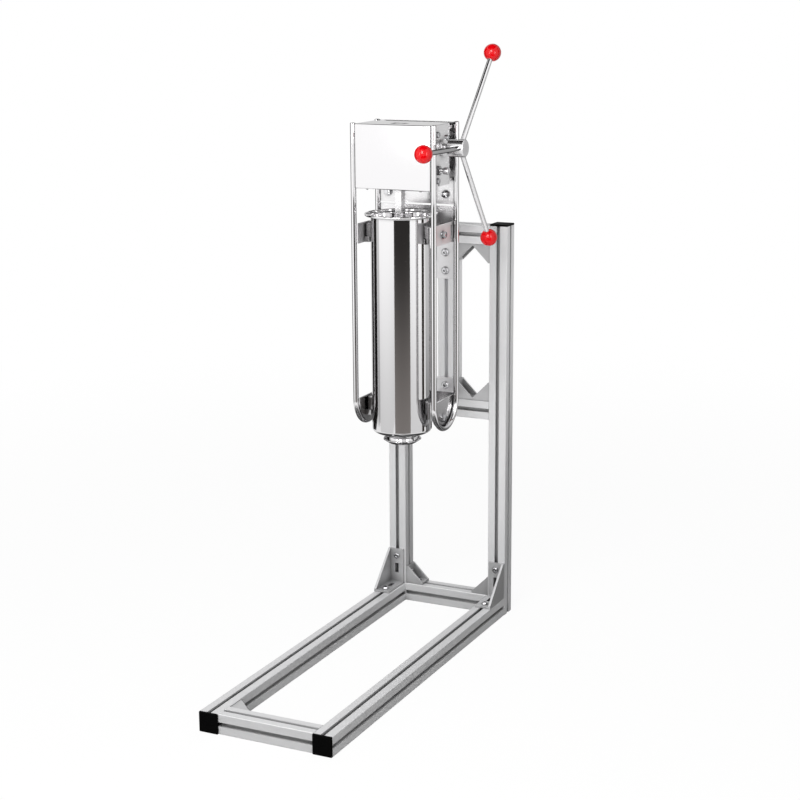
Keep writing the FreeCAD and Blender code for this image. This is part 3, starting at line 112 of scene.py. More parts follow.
# ---------------------------------------------------------------- sizes and colours to change
class ChurroPressSizes(bpy.types.PropertyGroup):
    sheet_edge: bpy.props.FloatProperty(
        name="Sheet edge", description="Rounding on the edges of laser-cut plates",
        default=0.35 * MM, min=0.0, max=1.0 * MM, unit="LENGTH")
    cast_edge: bpy.props.FloatProperty(
        name="Cast edge", description="Rounding on the edges of the cast brackets",
        default=0.8 * MM, min=0.0, max=1.5 * MM, unit="LENGTH")
    moulded_edge: bpy.props.FloatProperty(
        name="Moulded edge", description="Rounding on the edges of the plastic caps",
        default=0.6 * MM, min=0.0, max=1.5 * MM, unit="LENGTH")
    fold_radius: bpy.props.FloatProperty(
        name="Fold radius", description="Outside radius of the folds of the head's cover",
        default=2.5 * MM, min=1.6 * MM, max=6.0 * MM, unit="LENGTH")
    barrel_wall: bpy.props.FloatProperty(
        name="Barrel wall", description="Sheet thickness of the barrel",
        default=1.5 * MM, min=0.8 * MM, max=2.0 * MM, unit="LENGTH")
    rim_bead: bpy.props.FloatProperty(
        name="Rim bead", description="Radius of the bead rolled round the barrel's rim",
        default=2.6 * MM, min=1.5 * MM, max=4.0 * MM, unit="LENGTH")
    weld_width: bpy.props.FloatProperty(
        name="Weld width", description="Width of the weld beads",
        default=3.2 * MM, min=1.0 * MM, max=5.0 * MM, unit="LENGTH")
    thread_pitch: bpy.props.FloatProperty(
        name="Thread pitch", description="Pitch of the bolts' and the rack lock's thread",
        default=1.5 * MM, min=1.0 * MM, max=3.0 * MM, unit="LENGTH")


class ChurroPressColours(bpy.types.PropertyGroup):
    profile: bpy.props.FloatVectorProperty(
        name="Profile", description="Clear anodised aluminium of the stand",
        default=linear("#DEDEDF"), subtype="COLOR", min=0.0, max=1.0)
    bracket: bpy.props.FloatVectorProperty(
        name="Bracket", description="Tumbled die-cast brackets",
        default=linear("#CBCBCC"), subtype="COLOR", min=0.0, max=1.0)
    stainless: bpy.props.FloatVectorProperty(
        name="Stainless steel", description="Polished sheet, rods and barrel",
        default=linear("#E6E5E6"), subtype="COLOR", min=0.0, max=1.0)
    zinc: bpy.props.FloatVectorProperty(
        name="Zinc", description="Bright zinc plating of the screws",
        default=linear("#D8D8DA"), subtype="COLOR", min=0.0, max=1.0)
    tool_steel: bpy.props.FloatVectorProperty(
        name="Machined steel", description="Milled pinion, collar, rack foot and rack guides",
        default=linear("#C9C8C8"), subtype="COLOR", min=0.0, max=1.0)
    cap: bpy.props.FloatVectorProperty(
        name="Cap", description="Black moulded profile caps",
        default=linear("#060606"), subtype="COLOR", min=0.0, max=1.0)
    knob: bpy.props.FloatVectorProperty(
        name="Knob", description="Red lever knobs",
        default=linear("#CC0009"), subtype="COLOR", min=0.0, max=1.0)
    seal: bpy.props.FloatVectorProperty(
        name="Seal", description="Silicone lip seal of the piston",
        default=linear("#DAD7CE"), subtype="COLOR", min=0.0, max=1.0)
    die: bpy.props.FloatVectorProperty(
        name="Die", description="Turned nylon die",
        default=linear("#E9E8E2"), subtype="COLOR", min=0.0, max=1.0)


def sizes():
    """The size properties in use."""
    return bpy.context.scene.churro_press_sizes


def colours():
    """The colour properties in use."""
    return bpy.context.scene.churro_press_colours


# ---------------------------------------------------------------- materials
def add_node(tree, kind, values=None, links=None, **settings):
    """Adds one node with its settings, its own input values and the outputs linked to its inputs."""
    made = tree.nodes.new(kind)
    for name, value in settings.items():
        setattr(made, name, value)
    for name, value in (values or {}).items():
        made.inputs[name].default_value = value
    for name, source in (links or {}).items():
        tree.links.new(source, made.inputs[name])
    return made


def new_material(name, colour, metallic, roughness, others=None):
    """A material with one Principled shader; gives back the material, its tree, shader and coordinates."""
    material = bpy.data.materials.new(name)
    material.use_nodes = True
    tree = material.node_tree
    shader = tree.nodes["Principled BSDF"]
    values = {"Base Color": opaque(colour), "Metallic": metallic, "Roughness": roughness, **(others or {})}
    for socket, value in values.items():
        shader.inputs[socket].default_value = value
    place = add_node(tree, "ShaderNodeTexCoord").outputs["Object"]
    return material, tree, shader, place


def feed_shader(tree, shader, rough=None, bump=None):
    """Gives a shader its uneven roughness and its fine relief."""
    if rough:
        tree.links.new(rough.outputs[0], shader.inputs["Roughness"])
    if bump:
        tree.links.new(bump.outputs[0], shader.inputs["Normal"])


def shade_grooves(tree, shader, painted_shade, reach, clear=1.0, tone=None):
    """Deepens the tone, or else the plain colour, where surfaces crowd within reach: painted shade in
    grooves, corners and gaps.
    """
    crowd = add_node(tree, "ShaderNodeAmbientOcclusion", {"Distance": reach}, samples=8)
    share = add_node(
        tree, "ShaderNodeMapRange", {"From Max": clear, "To Min": 1 - painted_shade, "To Max": 1.0},
        {"Value": crowd.outputs["AO"]})
    plain = shader.inputs["Base Color"].default_value[:3]
    shaded = add_node(
        tree, "ShaderNodeVectorMath", {0: plain}, {"Scale": share.outputs[0]}, operation="SCALE")
    if tone:
        tree.links.new(tone, shaded.inputs[0])
    tree.links.new(shaded.outputs[0], shader.inputs["Base Color"])


def anodised_aluminium(name, axis, painted_light_gain=1.0, painted_shade=0.9):
    """Extruded profile, etched and clear anodised: a soft satin grey with faint die lines along each bar."""
    # The gain lifts the colour as painted light, for bars that stand in the press's shade.
    colour = [part * painted_light_gain for part in colours().profile]
    material, tree, shader, place = new_material(name, colour, 0.5, 0.42)
    # Die lines are finer than 0.5 mm on the real bar and are drawn 1.5 mm apart to show.
    drawn = add_node(tree, "ShaderNodeMapping", {"Scale": grain_scale(axis, 200.0, 1.5)}, {"Vector": place})
    lines = add_node(
        tree, "ShaderNodeTexNoise", {"Scale": 1.0, "Detail": 3.0}, {"Vector": drawn.outputs[0]})
    rough = add_node(
        tree, "ShaderNodeMapRange", {"To Min": 0.36, "To Max": 0.48}, {"Value": lines.outputs[0]})
    bump = add_node(
        tree, "ShaderNodeBump", {"Strength": 0.12, "Distance": 0.05 * MM}, {"Height": lines.outputs[0]})
    # The etch leaves faint clouds of about 90 mm.
    cloud = add_node(
        tree, "ShaderNodeTexNoise", {"Scale": per_metre(90.0), "Detail": 2.0}, {"Vector": place})
    tone = add_node(
        tree, "ShaderNodeMix", {"A": opaque(colour, 0.93), "B": opaque(colour)},
        {"Factor": cloud.outputs[0]}, data_type="RGBA")
    # Painted shade darkens the colour in the T-slots and at the joints.
    shade_grooves(tree, shader, painted_shade, 30 * MM, 0.5, tone.outputs["Result"])
    feed_shader(tree, shader, rough, bump)
    return material


def tumbled_die_casting():
    """Die-cast aluminium, tumbled: an even, slightly grainy grey with softened corners."""
    material, tree, shader, place = new_material("tumbled_die_casting", colours().bracket, 0.75, 0.42)
    # Tumbling grain of about half a millimetre, drawn at 0.9 mm.
    grain = add_node(
        tree, "ShaderNodeTexNoise", {"Scale": per_metre(0.9), "Detail": 4.0}, {"Vector": place})
    rough = add_node(
        tree, "ShaderNodeMapRange", {"To Min": 0.34, "To Max": 0.5}, {"Value": grain.outputs[0]})
    bump = add_node(
        tree, "ShaderNodeBump", {"Strength": 0.25, "Distance": 0.08 * MM}, {"Height": grain.outputs[0]})
    # Painted shade in the hollows and where the castings meet the bars.
    shade_grooves(tree, shader, 0.85, 22 * MM)
    feed_shader(tree, shader, rough, bump)
    return material


def polished_stainless(name, axis, roughness, edge=1.0, painted_shade=0.6, reach=8 * MM):
    """Ground and buffed stainless steel: reflections as clear as its roughness, faint streaks and waves."""
    # Polished curves turn darker, down to the edge's share, where they slope away from the eye.
    tint = {"Specular Tint": (edge, edge, edge, 1)}
    material, tree, shader, place = new_material(name, colours().stainless, 1.0, roughness, tint)
    # Buffing streaks about 0.8 mm apart; real ones are finer, and are drawn so wide to show.
    drawn = add_node(tree, "ShaderNodeMapping", {"Scale": grain_scale(axis, 120.0, 0.8)}, {"Vector": place})
    streaks = add_node(
        tree, "ShaderNodeTexNoise", {"Scale": 1.0, "Detail": 3.0}, {"Vector": drawn.outputs[0]})
    rough = add_node(
        tree, "ShaderNodeMapRange", {"To Min": roughness * 0.7, "To Max": roughness * 1.4},
        {"Value": streaks.outputs[0]})
    # The sheet's own waviness, a hundredth of a millimetre over about 60 mm.
    dents = add_node(
        tree, "ShaderNodeTexNoise", {"Scale": per_metre(60.0), "Detail": 1.0}, {"Vector": place})
    bump = add_node(
        tree, "ShaderNodeBump", {"Strength": 1.0, "Distance": 0.01 * MM}, {"Height": dents.outputs[0]})
    # Painted shade in gaps and corners within reach.
    shade_grooves(tree, shader, painted_shade, reach)
    feed_shader(tree, shader, rough, bump)
    return material


def bright_zinc_plating():
    """Zinc-plated screws: bright, a little milky, with darker edges where they slope away from the eye."""
    tint = {"Specular Tint": (0.15, 0.15, 0.15, 1)}
    material, tree, shader, place = new_material("bright_zinc_plating", colours().zinc, 1.0, 0.14, tint)
    # The milky bloom of the plating, in spots of about 2.5 mm.
    bloom = add_node(
        tree, "ShaderNodeTexNoise", {"Scale": per_metre(2.5), "Detail": 3.0}, {"Vector": place})
    rough = add_node(
        tree, "ShaderNodeMapRange", {"To Min": 0.08, "To Max": 0.2}, {"Value": bloom.outputs[0]})
    # Painted shade in the sockets and round the heads.
    shade_grooves(tree, shader, 0.95, 4 * MM)
    feed_shader(tree, shader, rough)
    return material


def milled_steel():
    """Milled and turned steel, lightly oiled: satin with fine feed marks across the bar."""
    material, tree, shader, place = new_material("milled_steel", colours().tool_steel, 1.0, 0.24)
    # Feed marks about 0.6 mm apart and 20 mm long.
    drawn = add_node(tree, "ShaderNodeMapping", {"Scale": grain_scale("Z", 0.6, 20.0)}, {"Vector": place})
    marks = add_node(
        tree, "ShaderNodeTexNoise", {"Scale": 1.0, "Detail": 2.0}, {"Vector": drawn.outputs[0]})
    rough = add_node(
        tree, "ShaderNodeMapRange", {"To Min": 0.16, "To Max": 0.32}, {"Value": marks.outputs[0]})
    bump = add_node(
        tree, "ShaderNodeBump", {"Strength": 0.2, "Distance": 0.03 * MM}, {"Height": marks.outputs[0]})
    feed_shader(tree, shader, rough, bump)
    return material


def black_moulded_nylon():
    """Injection-moulded black nylon: deep grey-black with a fine spark-eroded texture."""
    # The eroded skin scatters most of its gloss away.
    gloss = {"Specular IOR Level": 0.04}
    material, tree, shader, place = new_material("black_moulded_nylon", colours().cap, 0.0, 0.5, gloss)
    # Spark-eroded grain of about 0.4 mm, drawn at 0.7 mm.
    grain = add_node(
        tree, "ShaderNodeTexNoise", {"Scale": per_metre(0.7), "Detail": 3.0}, {"Vector": place})
    rough = add_node(
        tree, "ShaderNodeMapRange", {"To Min": 0.42, "To Max": 0.58}, {"Value": grain.outputs[0]})
    bump = add_node(
        tree, "ShaderNodeBump", {"Strength": 0.3, "Distance": 0.05 * MM}, {"Height": grain.outputs[0]})
    feed_shader(tree, shader, rough, bump)
    return material


def red_phenolic():
    """Compression-moulded phenolic knobs: a deep glossy red under a hard polished skin."""
    gloss = {"IOR": 1.5, "Specular IOR Level": 0.35}
    material, tree, shader, place = new_material("red_phenolic", colours().knob, 0.0, 0.12, gloss)
    # A faint mottling of the moulding powder, about 3 mm across.
    mottle = add_node(
        tree, "ShaderNodeTexNoise", {"Scale": per_metre(3.0), "Detail": 2.0}, {"Vector": place})
    tone = add_node(
        tree, "ShaderNodeMix", {"A": opaque(colours().knob, 0.94), "B": opaque(colours().knob)},
        {"Factor": mottle.outputs[0]}, data_type="RGBA")
    tree.links.new(tone.outputs["Result"], shader.inputs["Base Color"])
    return material


def silicone_rubber():
    """Pressed silicone rubber: milky, soft sheen, slightly uneven."""
    material, tree, shader, place = new_material("silicone_rubber", colours().seal, 0.0, 0.45, {"IOR": 1.41})
    # The mould's own unevenness, about 4 mm across.
    skin = add_node(tree, "ShaderNodeTexNoise", {"Scale": per_metre(4.0), "Detail": 2.0}, {"Vector": place})
    rough = add_node(
        tree, "ShaderNodeMapRange", {"To Min": 0.38, "To Max": 0.52}, {"Value": skin.outputs[0]})
    feed_shader(tree, shader, rough)
    return material


def turned_nylon():
    """White nylon turned on a lathe: matte with a fine tooled grain."""
    material, tree, shader, place = new_material("turned_nylon", colours().die, 0.0, 0.5, {"IOR": 1.53})
    # Tool marks of about 0.3 mm, drawn at 0.8 mm.
    marks = add_node(
        tree, "ShaderNodeTexNoise", {"Scale": per_metre(0.8), "Detail": 2.0}, {"Vector": place})
    bump = add_node(
        tree, "ShaderNodeBump", {"Strength": 0.15, "Distance": 0.03 * MM}, {"Height": marks.outputs[0]})
    feed_shader(tree, shader, bump=bump)
    return material


def satin_stainless():
    """Glass-bead blasted stainless steel: an even satin grey."""
    material, tree, shader, place = new_material("satin_stainless", colours().stainless, 1.0, 0.3)
    # Bead marks of about 0.3 mm, drawn at 0.6 mm.
    beads = add_node(
        tree, "ShaderNodeTexNoise", {"Scale": per_metre(0.6), "Detail": 3.0}, {"Vector": place})
    rough = add_node(
        tree, "ShaderNodeMapRange", {"To Min": 0.24, "To Max": 0.36}, {"Value": beads.outputs[0]})
    feed_shader(tree, shader, rough)
    return material


# Painted light: the middle post and the upper crossbar stand in the press's shade and are coloured paler.
RECIPES = {
    "profile_along_x": lambda: anodised_aluminium("anodised_aluminium_along_X", "X"),
    "profile_along_y": lambda: anodised_aluminium("anodised_aluminium_along_Y", "Y"),
    "profile_along_z": lambda: anodised_aluminium("anodised_aluminium_along_Z", "Z"),
    "painted_light_profile_along_x": lambda: anodised_aluminium("painted_light_anodised_aluminium_along_X", "X", painted_light_gain=1.3),
    "painted_light_profile_along_z": lambda: anodised_aluminium(
        "painted_light_anodised_aluminium_along_Z", "Z", painted_light_gain=1.25, painted_shade=0.0),
    "casting": tumbled_die_casting,
    "barrel": lambda: polished_stainless("mirror_polished_barrel", "Z", 0.06, edge=0.75),
    "cover": lambda: polished_stainless("mirror_polished_cover", "Z", 0.1),
    # The sheets, plates and hooks take deep painted shade in their gaps and corners.
    "sheet": lambda: polished_stainless("fine_ground_sheet", "Z", 0.22, painted_shade=0.9, reach=20 * MM),
    "plate": lambda: polished_stainless("brushed_holder_plate", "Y", 0.42, painted_shade=0.9, reach=12 * MM),
    "hook": lambda: polished_stainless("bent_hook_sheet", "Z", 0.16, painted_shade=0.9, reach=30 * MM),
    "hub": lambda: polished_stainless("turned_hub", "X", 0.2, edge=0.3, reach=4 * MM),
    "rod": lambda: polished_stainless("centreless_ground_rod", "Z", 0.06, edge=0.2),
    "satin": satin_stainless,
    "zinc": bright_zinc_plating,
    "steel": milled_steel,
    "cap": black_moulded_nylon,
    "knob": red_phenolic,
    "seal": silicone_rubber,
    "nylon": turned_nylon,
}
made_materials = {}


def finish_of(name):
    """The material of that finish, made on first use."""
    if name not in made_materials:
        made_materials[name] = RECIPES[name]()
    return made_materials[name]


def paint(nodes, finish):
    """Gives CAD nodes a finish."""
    for node in nodes:
        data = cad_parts[node].data
        data.materials.clear()
        data.materials.append(finish_of(finish))


def soften(nodes, width):
    """Rounds the hard edges of CAD nodes, which stay as they are underneath."""
    same_place = 0.002 * MM
    same_plane = math.radians(0.3)
    hard_edge = math.radians(30)
    for node in nodes:
        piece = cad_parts[node]
        joined = piece.modifiers.new("joined_faces", "WELD")
        joined.merge_threshold = same_place
        whole = piece.modifiers.new("whole_flats", "DECIMATE")
        whole.decimate_type = "DISSOLVE"
        whole.angle_limit = same_plane
        bevel = piece.modifiers.new("rounded_edges", "BEVEL")
        bevel.width = width
        bevel.segments = 2
        bevel.limit_method = "ANGLE"
        bevel.angle_limit = hard_edge
        flats = piece.modifiers.new("even_flats", "WEIGHTED_NORMAL")
        flats.mode = "FACE_AREA"
        flats.weight = 50


# ---------------------------------------------------------------- mesh building blocks
def add_object(name, data):
    """A new object in the scene with that data."""
    made = bpy.data.objects.new(name, data)
    bpy.context.scene.collection.objects.link(made)
    return made


def add_mesh(name, mesh):
    """A new object in the scene made of a bmesh, which is used up."""
    data = bpy.data.meshes.new(name)
    mesh.to_mesh(data)
    mesh.free()
    return add_object(name, data)


def piece_from(name, mesh, body, finish, replaced=(), smooth_angle=40):
    """Turns a bmesh into a named piece that rides on a body and may stand for CAD nodes."""
    bmesh.ops.recalc_face_normals(mesh, faces=mesh.faces)
    piece = add_mesh(name, mesh)
    for face in piece.data.polygons:
        face.use_smooth = True
    piece.data.set_sharp_from_angle(angle=math.radians(smooth_angle))
    piece.data.materials.append(finish_of(finish))
    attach(piece, body)
    if replaced:
        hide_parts(*replaced)
    return piece


def facing(origin, axis):
    """Matrix whose Z points along axis and whose origin is there."""
    return Matrix.Translation(origin) @ axis.to_track_quat("Z", "Y").to_matrix().to_4x4()


def arc(centre, radius, start, end, steps):
    """Points on an arc, angles in degrees."""
    angles = [math.radians(start + (end - start) * i / steps) for i in range(steps + 1)]
    return [(centre[0] + radius * math.cos(angle), centre[1] + radius * math.sin(angle)) for angle in angles]


def ring(mesh, place, segments, shape):
    """Ring of points about the Z of place; shape gives radius and height at each share of the turn."""
    points = []
    for k in range(segments):
        radius, height = shape(k / segments)
        angle = math.tau * k / segments
        spot = Vector((radius * math.cos(angle), radius * math.sin(angle), height))
        points.append(mesh.verts.new(place @ spot))
    return points


def bridge(mesh, low, high):
    """Faces between two rings, either of which may be a single point."""
    count = max(len(low), len(high))
    for i in range(count):
        j = (i + 1) % count
        if len(low) == 1:
            mesh.faces.new((low[0], high[j], high[i]))
        elif len(high) == 1:
            mesh.faces.new((low[i], low[j], high[0]))
        else:
            mesh.faces.new((low[i], low[j], high[j], high[i]))


def skin(mesh, rings, closed=False):
    """Bridges each ring to the next, and the last to the first where the section is closed."""
    for low, high in zip(rings, rings[1:]):
        bridge(mesh, low, high)
    if closed:
        bridge(mesh, rings[-1], rings[0])


def capped_skin(mesh, rings):
    """Bridges each ring to the next, with a face on either end."""
    skin(mesh, rings)
    mesh.faces.new(rings[0])
    mesh.faces.new(rings[-1])


def lathe(mesh, outline, place, segments=64, closed=False):
    """Turns (radius, height) points about the Z of place, tips on the axis too; gives the last ring."""
    rings = []
    for radius, height in outline:
        on_axis = radius < 0.0001 * MM
        rings.append(ring(mesh, place, 1 if on_axis else segments, lambda share: (radius, height)))
    skin(mesh, rings, closed)
    return rings[-1]


def tube(mesh, path, radii, segments):
    """Round bar along a path, with a radius at each point and closed ends."""
    rings = []
    up = (path[1] - path[0]).normalized().orthogonal()
    for i, point in enumerate(path):
        along = (path[min(i + 1, len(path) - 1)] - path[max(i - 1, 0)]).normalized()
        up = (up - along * up.dot(along)).normalized()
        side = along.cross(up)
        turned = Matrix((up, side, along)).transposed().to_4x4()
        rings.append(ring(mesh, Matrix.Translation(point) @ turned, segments, lambda share: (radii[i], 0)))
    capped_skin(mesh, rings)


def groove(height, pitch, share):
    """How deep a thread is cut at a height and a share of the turn, 0 on its crest and 1 at its root."""
    phase = (height / pitch - share) % 1.0
    return abs(2 * phase - 1)


def thread(mesh, place, radius, depth, pitch, length):
    """Helical thread up the Z of place, closed at both ends."""
    segments = 36
    rows_per_turn = 8
    run_out = depth * 0.9
    rows = max(rows_per_turn, int(length / pitch * rows_per_turn))
    rings = []
    for row in range(rows + 1):
        height = length * row / rows
        # Over the first and the last turn the crest runs out to nine tenths of the depth.
        fade = min(1.0, height / pitch, (length - height) / pitch)

        def flank(share):
            cut = depth * groove(height, pitch, share) * fade + run_out * (1 - fade)
            return radius - cut, height

        rings.append(ring(mesh, place, segments, flank))
    capped_skin(mesh, rings)


def hex_reach(share, flats):
    """Distance from a hexagon's middle to its side at a share of the turn."""
    from_flat = (math.tau * share + math.pi / 6) % (math.pi / 3) - math.pi / 6
    return flats / 2 / math.cos(from_flat)


def hex_head(mesh, place, flats, height):
    """Hexagon with its corners chamfered at 30 degrees, standing on place."""
    segments = 48
    crown = flats / 2 * 0.95
    slope = math.tan(math.radians(30))

    def shoulder(share):
        reach = hex_reach(share, flats)
        return reach, height - (reach - crown) * slope

    capped_skin(mesh, [
        ring(mesh, place, segments, lambda share: (hex_reach(share, flats), 0)),
        ring(mesh, place, segments, shoulder),
        ring(mesh, place, segments, lambda share: (crown, height))])


def socket_head(mesh, place, radius, height, socket_flats, socket_depth):
    """Domed head with a rounded rim and a hexagonal socket, standing on place."""
    segments = 48
    dome_steps = 6
    rim = radius * 0.09
    crown = radius * 0.62
    outline = [(0, 0), (radius - rim, 0)] + arc((radius - rim, rim), rim, -90, 30, 4)
    rim_radius, rim_height = outline[-1]
    for i in range(1, dome_steps + 1):
        share = i / dome_steps
        reach = rim_radius + (crown - rim_radius) * share
        rise = (height - rim_height) * math.sin(share * math.pi / 2)
        outline.append((reach, rim_height + rise))
    dome = lathe(mesh, outline, place, segments)
    mouth = ring(mesh, place, segments, lambda share: (hex_reach(share, socket_flats), height))
    bottom = height - socket_depth
    floor = ring(mesh, place, segments, lambda share: (hex_reach(share, socket_flats), bottom))
    bridge(mesh, dome, mouth)
    bridge(mesh, mouth, floor)
    mesh.faces.new(floor)


def weld_bead(mesh, path, width):
    """Rippled weld along a path, half sunk in the seam."""
    radius = width / 2
    blunt_end = radius * 0.7
    ripple = width * 0.55
    ripple_depth = 0.03
    points_per_ripple = 4
    points = []
    radii = []
    for start, end in zip(path, path[1:]):
        steps = max(2, int((end - start).length / ripple * points_per_ripple))
        for i in range(steps):
            points.append(start.lerp(end, i / steps))
            wave = math.cos(math.tau * len(points) / points_per_ripple)
            radii.append(radius * (1 - ripple_depth + ripple_depth * wave))
    points.append(path[-1])
    radii.append(blunt_end)
    radii[0] = blunt_end
    tube(mesh, points, radii, 10)


def upright_weld(mesh, x, y, foot, top, width):
    """Straight weld up a seam."""
    weld_bead(mesh, [Vector((x, y, foot)), Vector((x, y, top))], width)


def islands(node):
    """Corner places of each separate solid in a CAD node."""
    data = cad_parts[node].data
    spots = np.zeros(len(data.vertices) * 3)
    data.vertices.foreach_get("co", spots)
    spots = spots.reshape(-1, 3)
    same_place = 0.005 * MM
    keys = {}
    parent = list(range(len(spots)))

    def root(i):
        while parent[i] != i:
            parent[i] = parent[parent[i]]
            i = parent[i]
        return i

    for i, spot in enumerate(np.round(spots / same_place).astype(int)):
        first = keys.setdefault(tuple(spot), i)
        parent[root(i)] = root(first)
    for face in data.polygons:
        corners = list(face.vertices)
        for corner in corners[1:]:
            parent[root(corner)] = root(corners[0])
    groups = {}
    for i in range(len(spots)):
        groups.setdefault(root(i), []).append(i)
    return [spots[members] for _, members in sorted(groups.items())]


# Where a screw's head sits, its outward axis, its head's radius and height and its whole length.
Screw = namedtuple("Screw", "seat axis radius head length")


def screws_of(node):
    """The screws in a CAD node, read from their solids."""
    screws = []
    rim_width = 0.05 * MM
    for spots in islands(node):
        low, high = spots.min(0), spots.max(0)
        size = high - low
        # A round head or washer is as wide one way as the other; the axis is the third direction.
        along = int(np.argmin([abs(size[i - 1] - size[i - 2]) for i in range(3)]))
        others = [i for i in range(3) if i != along]
        centre = (low + high) / 2
        reach = np.linalg.norm(spots[:, others] - centre[others], axis=1)
        head = spots[reach > reach.max() - rim_width][:, along]
        outward = 1 if head.mean() > centre[along] else -1
        seat_level = head.min() if outward > 0 else head.max()
        end_level = high[along] if outward > 0 else low[along]
        seat = Vector(centre)
        seat[along] = seat_level
        axis = Vector((0, 0, 0))
        axis[along] = outward
        screws.append(Screw(seat, axis, float(reach.max()), abs(float(end_level - seat_level)), size[along]))
    return screws


def add_shank(mesh, screw, radius, depth):
    """Threaded shank of a screw, from its tip up to its head."""
    shank = screw.length - screw.head
    tip = facing(screw.seat - screw.axis * shank, screw.axis)
    thread(mesh, tip, radius, depth, sizes().thread_pitch, shank)


# ---------------------------------------------------------------- operators
M8_RADIUS = 4.0 * MM
M8_HEX = 13.0 * MM
M8_SOCKET = 5.0 * MM
M6_RADIUS = 3.0 * MM
M6_HEX = 10.0 * MM


class CHURRO_OT_profiles(bpy.types.Operator):
    """Finish the slotted aluminium bars"""
    bl_idname = "churro.profiles"
    bl_label = "Profiles"

    def execute(self, context):
        for node, finish in PROFILES.items():
            paint([node], finish)
        return {"FINISHED"}


class CHURRO_OT_caps(bpy.types.Operator):
    """Finish the black end caps"""
    bl_idname = "churro.caps"
    bl_label = "End caps"

    def execute(self, context):
        caps = ["arm_end_caps", "post_top_caps"]
        paint(caps, "cap")
        soften(caps, sizes().moulded_edge)
        return {"FINISHED"}


class CHURRO_OT_brackets(bpy.types.Operator):
    """Finish the cast brackets and gussets"""
    bl_idname = "churro.brackets"
    bl_label = "Brackets"

    def execute(self, context):
        castings = [
            "corner_bracket_left", "corner_bracket_right",
            "upper_frame_gussets", "lower_frame_gussets", "base_gussets"]
        paint(castings, "casting")
        soften(castings, sizes().cast_edge)
        return {"FINISHED"}


class CHURRO_OT_screws(bpy.types.Operator):
    """Model the socket screws of the stand and the mount, and finish the slot nuts"""
    bl_idname = "churro.screws"
    bl_label = "Socket screws"

    def execute(self, context):
        socket_depth = 2.6 * MM
        thread_depth = 0.5 * MM
        for node in ("corner_bracket_screws", "gusset_screws", "mount_screws"):
            mesh = bmesh.new()
            for screw in screws_of(node):
                place = facing(screw.seat, screw.axis)
                socket_head(mesh, place, screw.radius, screw.head, M8_SOCKET, socket_depth)
                add_shank(mesh, screw, M8_RADIUS, thread_depth)
            piece_from(node + "_turned", mesh, STAND, "zinc", (node,))
        paint(["slot_nuts"], "zinc")
        return {"FINISHED"}


class CHURRO_OT_mounts(bpy.types.Operator):
    """Finish the two brackets that hold the press on the middle post"""
    bl_idname = "churro.mounts"
    bl_label = "Mount brackets"

    def execute(self, context):
        mounts = ["upper_mount_bracket", "lower_mount_bracket"]
        paint(mounts, "satin")
        soften(mounts, sizes().sheet_edge)
        return {"FINISHED"}


# Bar radius of a U-bent rod, its side place, the axes of its two legs, its bend's centre and its top.
Rod = namedtuple("Rod", "radius x front rear bend top")


def rod_on(side):
    """The U-bent rod on a side, read from its CAD box."""
    low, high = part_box("side_loop_" + side)
    radius = (high.x - low.x) / 2
    front = low.y + radius
    rear = high.y - radius
    return Rod(radius, (high.x + low.x) / 2, front, rear, low.z + radius + (rear - front) / 2, high.z)


class CHURRO_OT_rods(bpy.types.Operator):
    """Model the two U-bent side rods"""
    bl_idname = "churro.rods"
    bl_label = "Side rods"

    def execute(self, context):
        chamfer = 1.0 * MM
        for side in SIDES:
            rod = rod_on(side)
            bend = arc(((rod.front + rod.rear) / 2, rod.bend), (rod.rear - rod.front) / 2, 180, 360, 40)
            ends = (rod.top, rod.top - chamfer, rod.top - 2 * chamfer)
            path = [Vector((rod.x, rod.front, z)) for z in ends]
            path += [Vector((rod.x, y, z)) for y, z in bend]
            path += [Vector((rod.x, rod.rear, z)) for z in reversed(ends)]
            radii = [rod.radius] * len(path)
            radii[0] = radii[-1] = rod.radius - chamfer
            mesh = bmesh.new()
            tube(mesh, path, radii, 32)
            piece_from("bent_rod_" + side, mesh, STAND, "rod", ("side_loop_" + side,))
        return {"FINISHED"}


class CHURRO_OT_plates(bpy.types.Operator):
    """Finish the plates between the rods and lay their welds"""
    bl_idname = "churro.plates"
    bl_label = "Plates and welds"

    def execute(self, context):
        holders = ["upper_holder_plates"]
        hooks = ["lower_holder_plates", "head_back_plate", "barrel_cradles", "barrel_ears"]
        sheets = [
            "upper_cross_plate", "lower_cross_plate", "head_side_plate_left", "head_side_plate_right"]
        paint(holders, "plate")
        paint(hooks, "hook")
        paint(sheets, "sheet")
        soften(holders + hooks + sheets, sizes().sheet_edge)
        mesh = bmesh.new()
        width = sizes().weld_width
        sunk = width * 0.12
        end = 2 * MM
        cross_seam = 3 * MM
        tack_start = 1 * MM
        tack_end = 6 * MM
        for side in SIDES:
            rod = rod_on(side)
            x = rod.x - math.copysign(rod.radius - sunk, rod.x)
            for node in ("upper_holder_plates", "head_side_plate_" + side):
                low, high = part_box(node)
                upright_weld(mesh, x, rod.front + rod.radius / 4, low.z + end, high.z - end, width)
            for node in ("upper_cross_plate", "lower_cross_plate", "head_back_plate"):
                low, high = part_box(node)
                upright_weld(mesh, x, rod.rear + cross_seam, low.z + end, high.z - end, width)
            # The holder plate's rear edge is only tacked.
            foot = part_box("upper_holder_plates")[0].z
            upright_weld(mesh, x, rod.rear - rod.radius / 4, foot + tack_start, foot + tack_end, width)
        piece_from("rod_welds", mesh, STAND, "satin")
        return {"FINISHED"}


